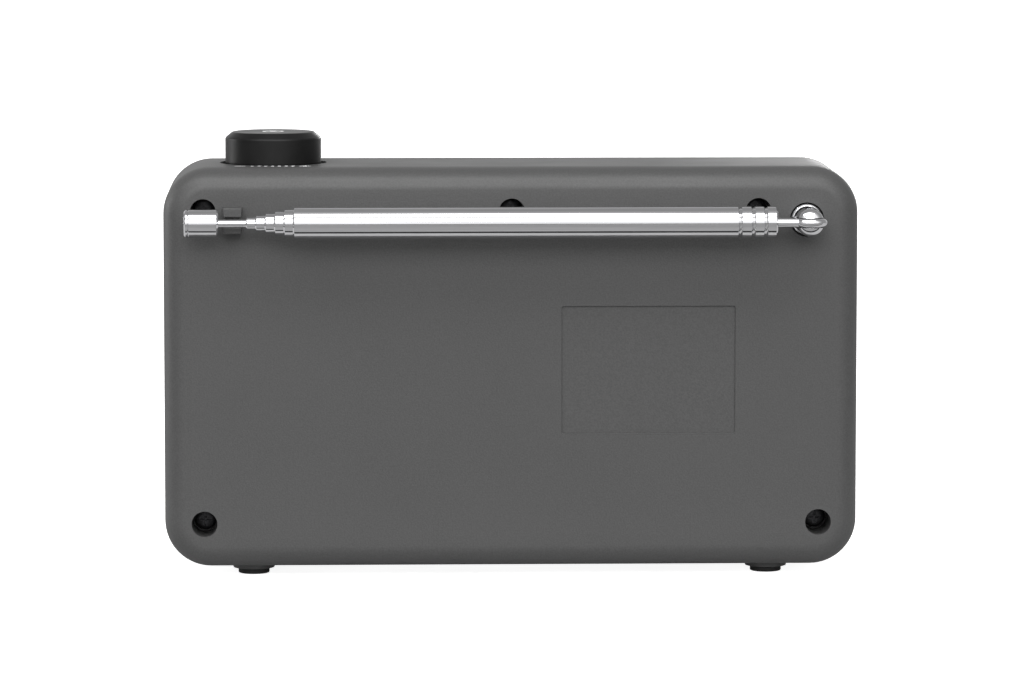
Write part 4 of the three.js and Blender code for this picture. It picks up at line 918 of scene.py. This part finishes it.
# %% [markdown]
# ## Case screws
# Down in the wells only the heads show: a low pan with a cross recess, blackened.

# %% Case screws
screw_outline = [(0, -12), (1.2, -11.4), (1.2, 0), (2.8, 0), (2.8, 0.9), (2.5, 1.6), (1.8, 2), (0, 2)]
head_tall, arm_long, arm_wide = 2 * mm, 3.2, 0.6
for where in case_screws:
    node = "case_screw_" + where
    seat_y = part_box(node)[1].y - head_tall
    middle = centre_of(node)
    screw = turned(screw_outline, "Y", at_depth(middle, seat_y), steps=32)
    for wide, tall in ((arm_long, arm_wide), (arm_wide, arm_long)):
        arm = slab(wide, tall, 0, seat_y + 0.8 * mm, seat_y + 3 * mm, middle.x, middle.z)
        screw = combined(screw, [arm], "DIFFERENCE")
    finished(screw, "pan_head_" + where, [node], edge=0.08, finish=blackened)

# %% [markdown]
# ## Floor and table
# The radio stands on a pale floor whose glow is painted light: it fades the radio's shade on the floor,
# so no hard shadow shows on it. Only the camera sees that floor. What the radio sees, in its chrome and
# as light from below, is a grey table a millimetre lower. A black strip on it, 4 to 6 cm behind the
# case, is painted shadow: in the chrome it draws the thin dark line along the lower side of the aerial.
# The table is paler on the case's side of the strip, a painted highlight that draws a light line in the
# chrome below the dark one.

# %% The floor and the table
painted_glow_floor, tree, shader, place = new_finish("pale_floor_painted_glow", IOR=1.4, Specular_IOR_Level=0.1)
clouds = noise(tree, place, 25, 3.0)
white = add(tree, "ShaderNodeValToRGB", {"Fac": clouds}, stops=[(0.3, "#f2f2f2"), (0.7, "#f6f6f6")])
tree.links.new(white.outputs["Color"], shader.inputs["Base Color"])
# The emission is painted light: the floor glows so that the radio's shade on it fades to white.
tree.links.new(white.outputs["Color"], shader.inputs["Emission Color"])
shader.inputs["Emission Strength"].default_value = 1.0
shader.inputs["Roughness"].default_value = 0.9

table_top, tree, shader, place = new_finish("grey_table_painted_strip", IOR=1.4, Roughness=0.8)
behind = add(tree, "ShaderNodeSeparateXYZ", {"Vector": place}).outputs["Y"]
# Painted shadow: a black strip from 5.6 to 7.8 cm along Y draws the dark line in the aerial's chrome.
painted_shadow_strip = [(0.056, "#121212"), (0.078, "#121212")]
# Painted highlight: the table is paler on the case's side of the strip, a light line in the chrome.
painted_highlight_side = (0.052, "#b8b8b8")
grey_beyond_strip = [(0.083, "#9c9c9c"), (0.25, "#808080"), (0.6, "#787878")]
greys = add(tree, "ShaderNodeValToRGB", {"Fac": behind}, stops=[painted_highlight_side, *painted_shadow_strip, *grey_beyond_strip])
tree.links.new(greys.outputs["Color"], shader.inputs["Base Color"])


def sheet(name, height, finish):
    """A flat square of 12 m for the stage."""
    half_side = 6
    shape = bmesh.new()
    bmesh.ops.create_grid(shape, x_segments=8, y_segments=8, size=half_side)
    bmesh.ops.translate(shape, vec=(0, 0, height), verts=shape.verts)
    mesh = bpy.data.meshes.new(name)
    shape.to_mesh(mesh)
    shape.free()
    mesh.materials.append(finish)
    piece = bpy.data.objects.new(name, mesh)
    bpy.context.scene.collection.objects.link(piece)
    return piece


floor = sheet("floor", 0, painted_glow_floor)
floor.visible_diffuse = floor.visible_glossy = floor.visible_shadow = False
table = sheet("table", -1 * mm, table_top)
table.visible_camera = table.visible_shadow = False
print("floor is", round(floor.dimensions.x), "m wide")

# %% [markdown]
# ## The light
# The studio is white on the camera's side, from below the lens to well above it, grey overhead and
# round the sides, and paler again opposite. So each tube has a broad white band with a grey edge on
# either side of it. Two soft lamps shape the case. One hangs overhead and catches the rolled edge;
# the other, behind the camera, throws the aerial's soft shadow. Two small ones, at one side and far
# behind, draw faint edges.

# %% Studio and lamps
world = bpy.data.worlds.new("studio")
bpy.context.scene.world = world
world.use_nodes = True
tree = world.node_tree
tree.nodes.clear()
direction = add(tree, "ShaderNodeTexCoord").outputs["Generated"]
tilt_up = math.radians(18)
white_side = (0, math.cos(tilt_up), math.sin(tilt_up))
facing = add(tree, "ShaderNodeVectorMath", {0: direction, 1: white_side}, operation="DOT_PRODUCT")
towards_white = add(tree, "ShaderNodeMapRange", {"Value": facing.outputs["Value"], "From Min": -1.0})
studio = add(
    tree, "ShaderNodeValToRGB", {"Fac": towards_white.outputs["Result"]},
    stops=[
        (0.0, "#d0d0d0"), (0.1, "#cacaca"), (0.32, "#8c8c8c"), (0.6, "#8c8c8c"), (0.74, "#b8b8b8"),
        (0.84, "#ffffff"),
    ],
)
seen = add(tree, "ShaderNodeLightPath").outputs["Is Camera Ray"]
lit = add(tree, "ShaderNodeBackground", {"Color": studio.outputs["Color"], "Strength": 1.2})
plain = add(tree, "ShaderNodeBackground", {"Color": (1, 1, 1, 1), "Strength": 1.0})
mixed = add(tree, "ShaderNodeMixShader", {"Fac": seen, 1: lit.outputs[0], 2: plain.outputs[0]})
add(tree, "ShaderNodeOutputWorld", {"Surface": mixed.outputs[0]})
half_way_up = Vector((0, 0, 0.05))


def lamp(name, location, wide, tall, power):
    """A soft rectangular lamp that looks at the middle of the radio. Sizes in metres, power in watts."""
    light = bpy.data.lights.new(name, "AREA")
    light.shape, light.size, light.size_y, light.energy = "RECTANGLE", wide, tall, power
    holder = bpy.data.objects.new(name, light)
    holder.location = location
    holder.rotation_euler = (half_way_up - holder.location).to_track_quat("-Z", "Y").to_euler()
    bpy.context.scene.collection.objects.link(holder)
    print(name, round(holder.location.length, 2), "m away")


lamp("overhead_softbox", (0.1, 0.45, 1.0), 1.4, 0.35, 6.5)
lamp("front_softbox", (0.0, 1.4, 0.8), 1.6, 0.6, 13)
lamp("side_softbox", (1.35, -0.6, 0.3), 0.5, 0.6, 4)
lamp("far_edge_lamp", (-0.6, -2.0, 0.35), 0.7, 0.4, 4)
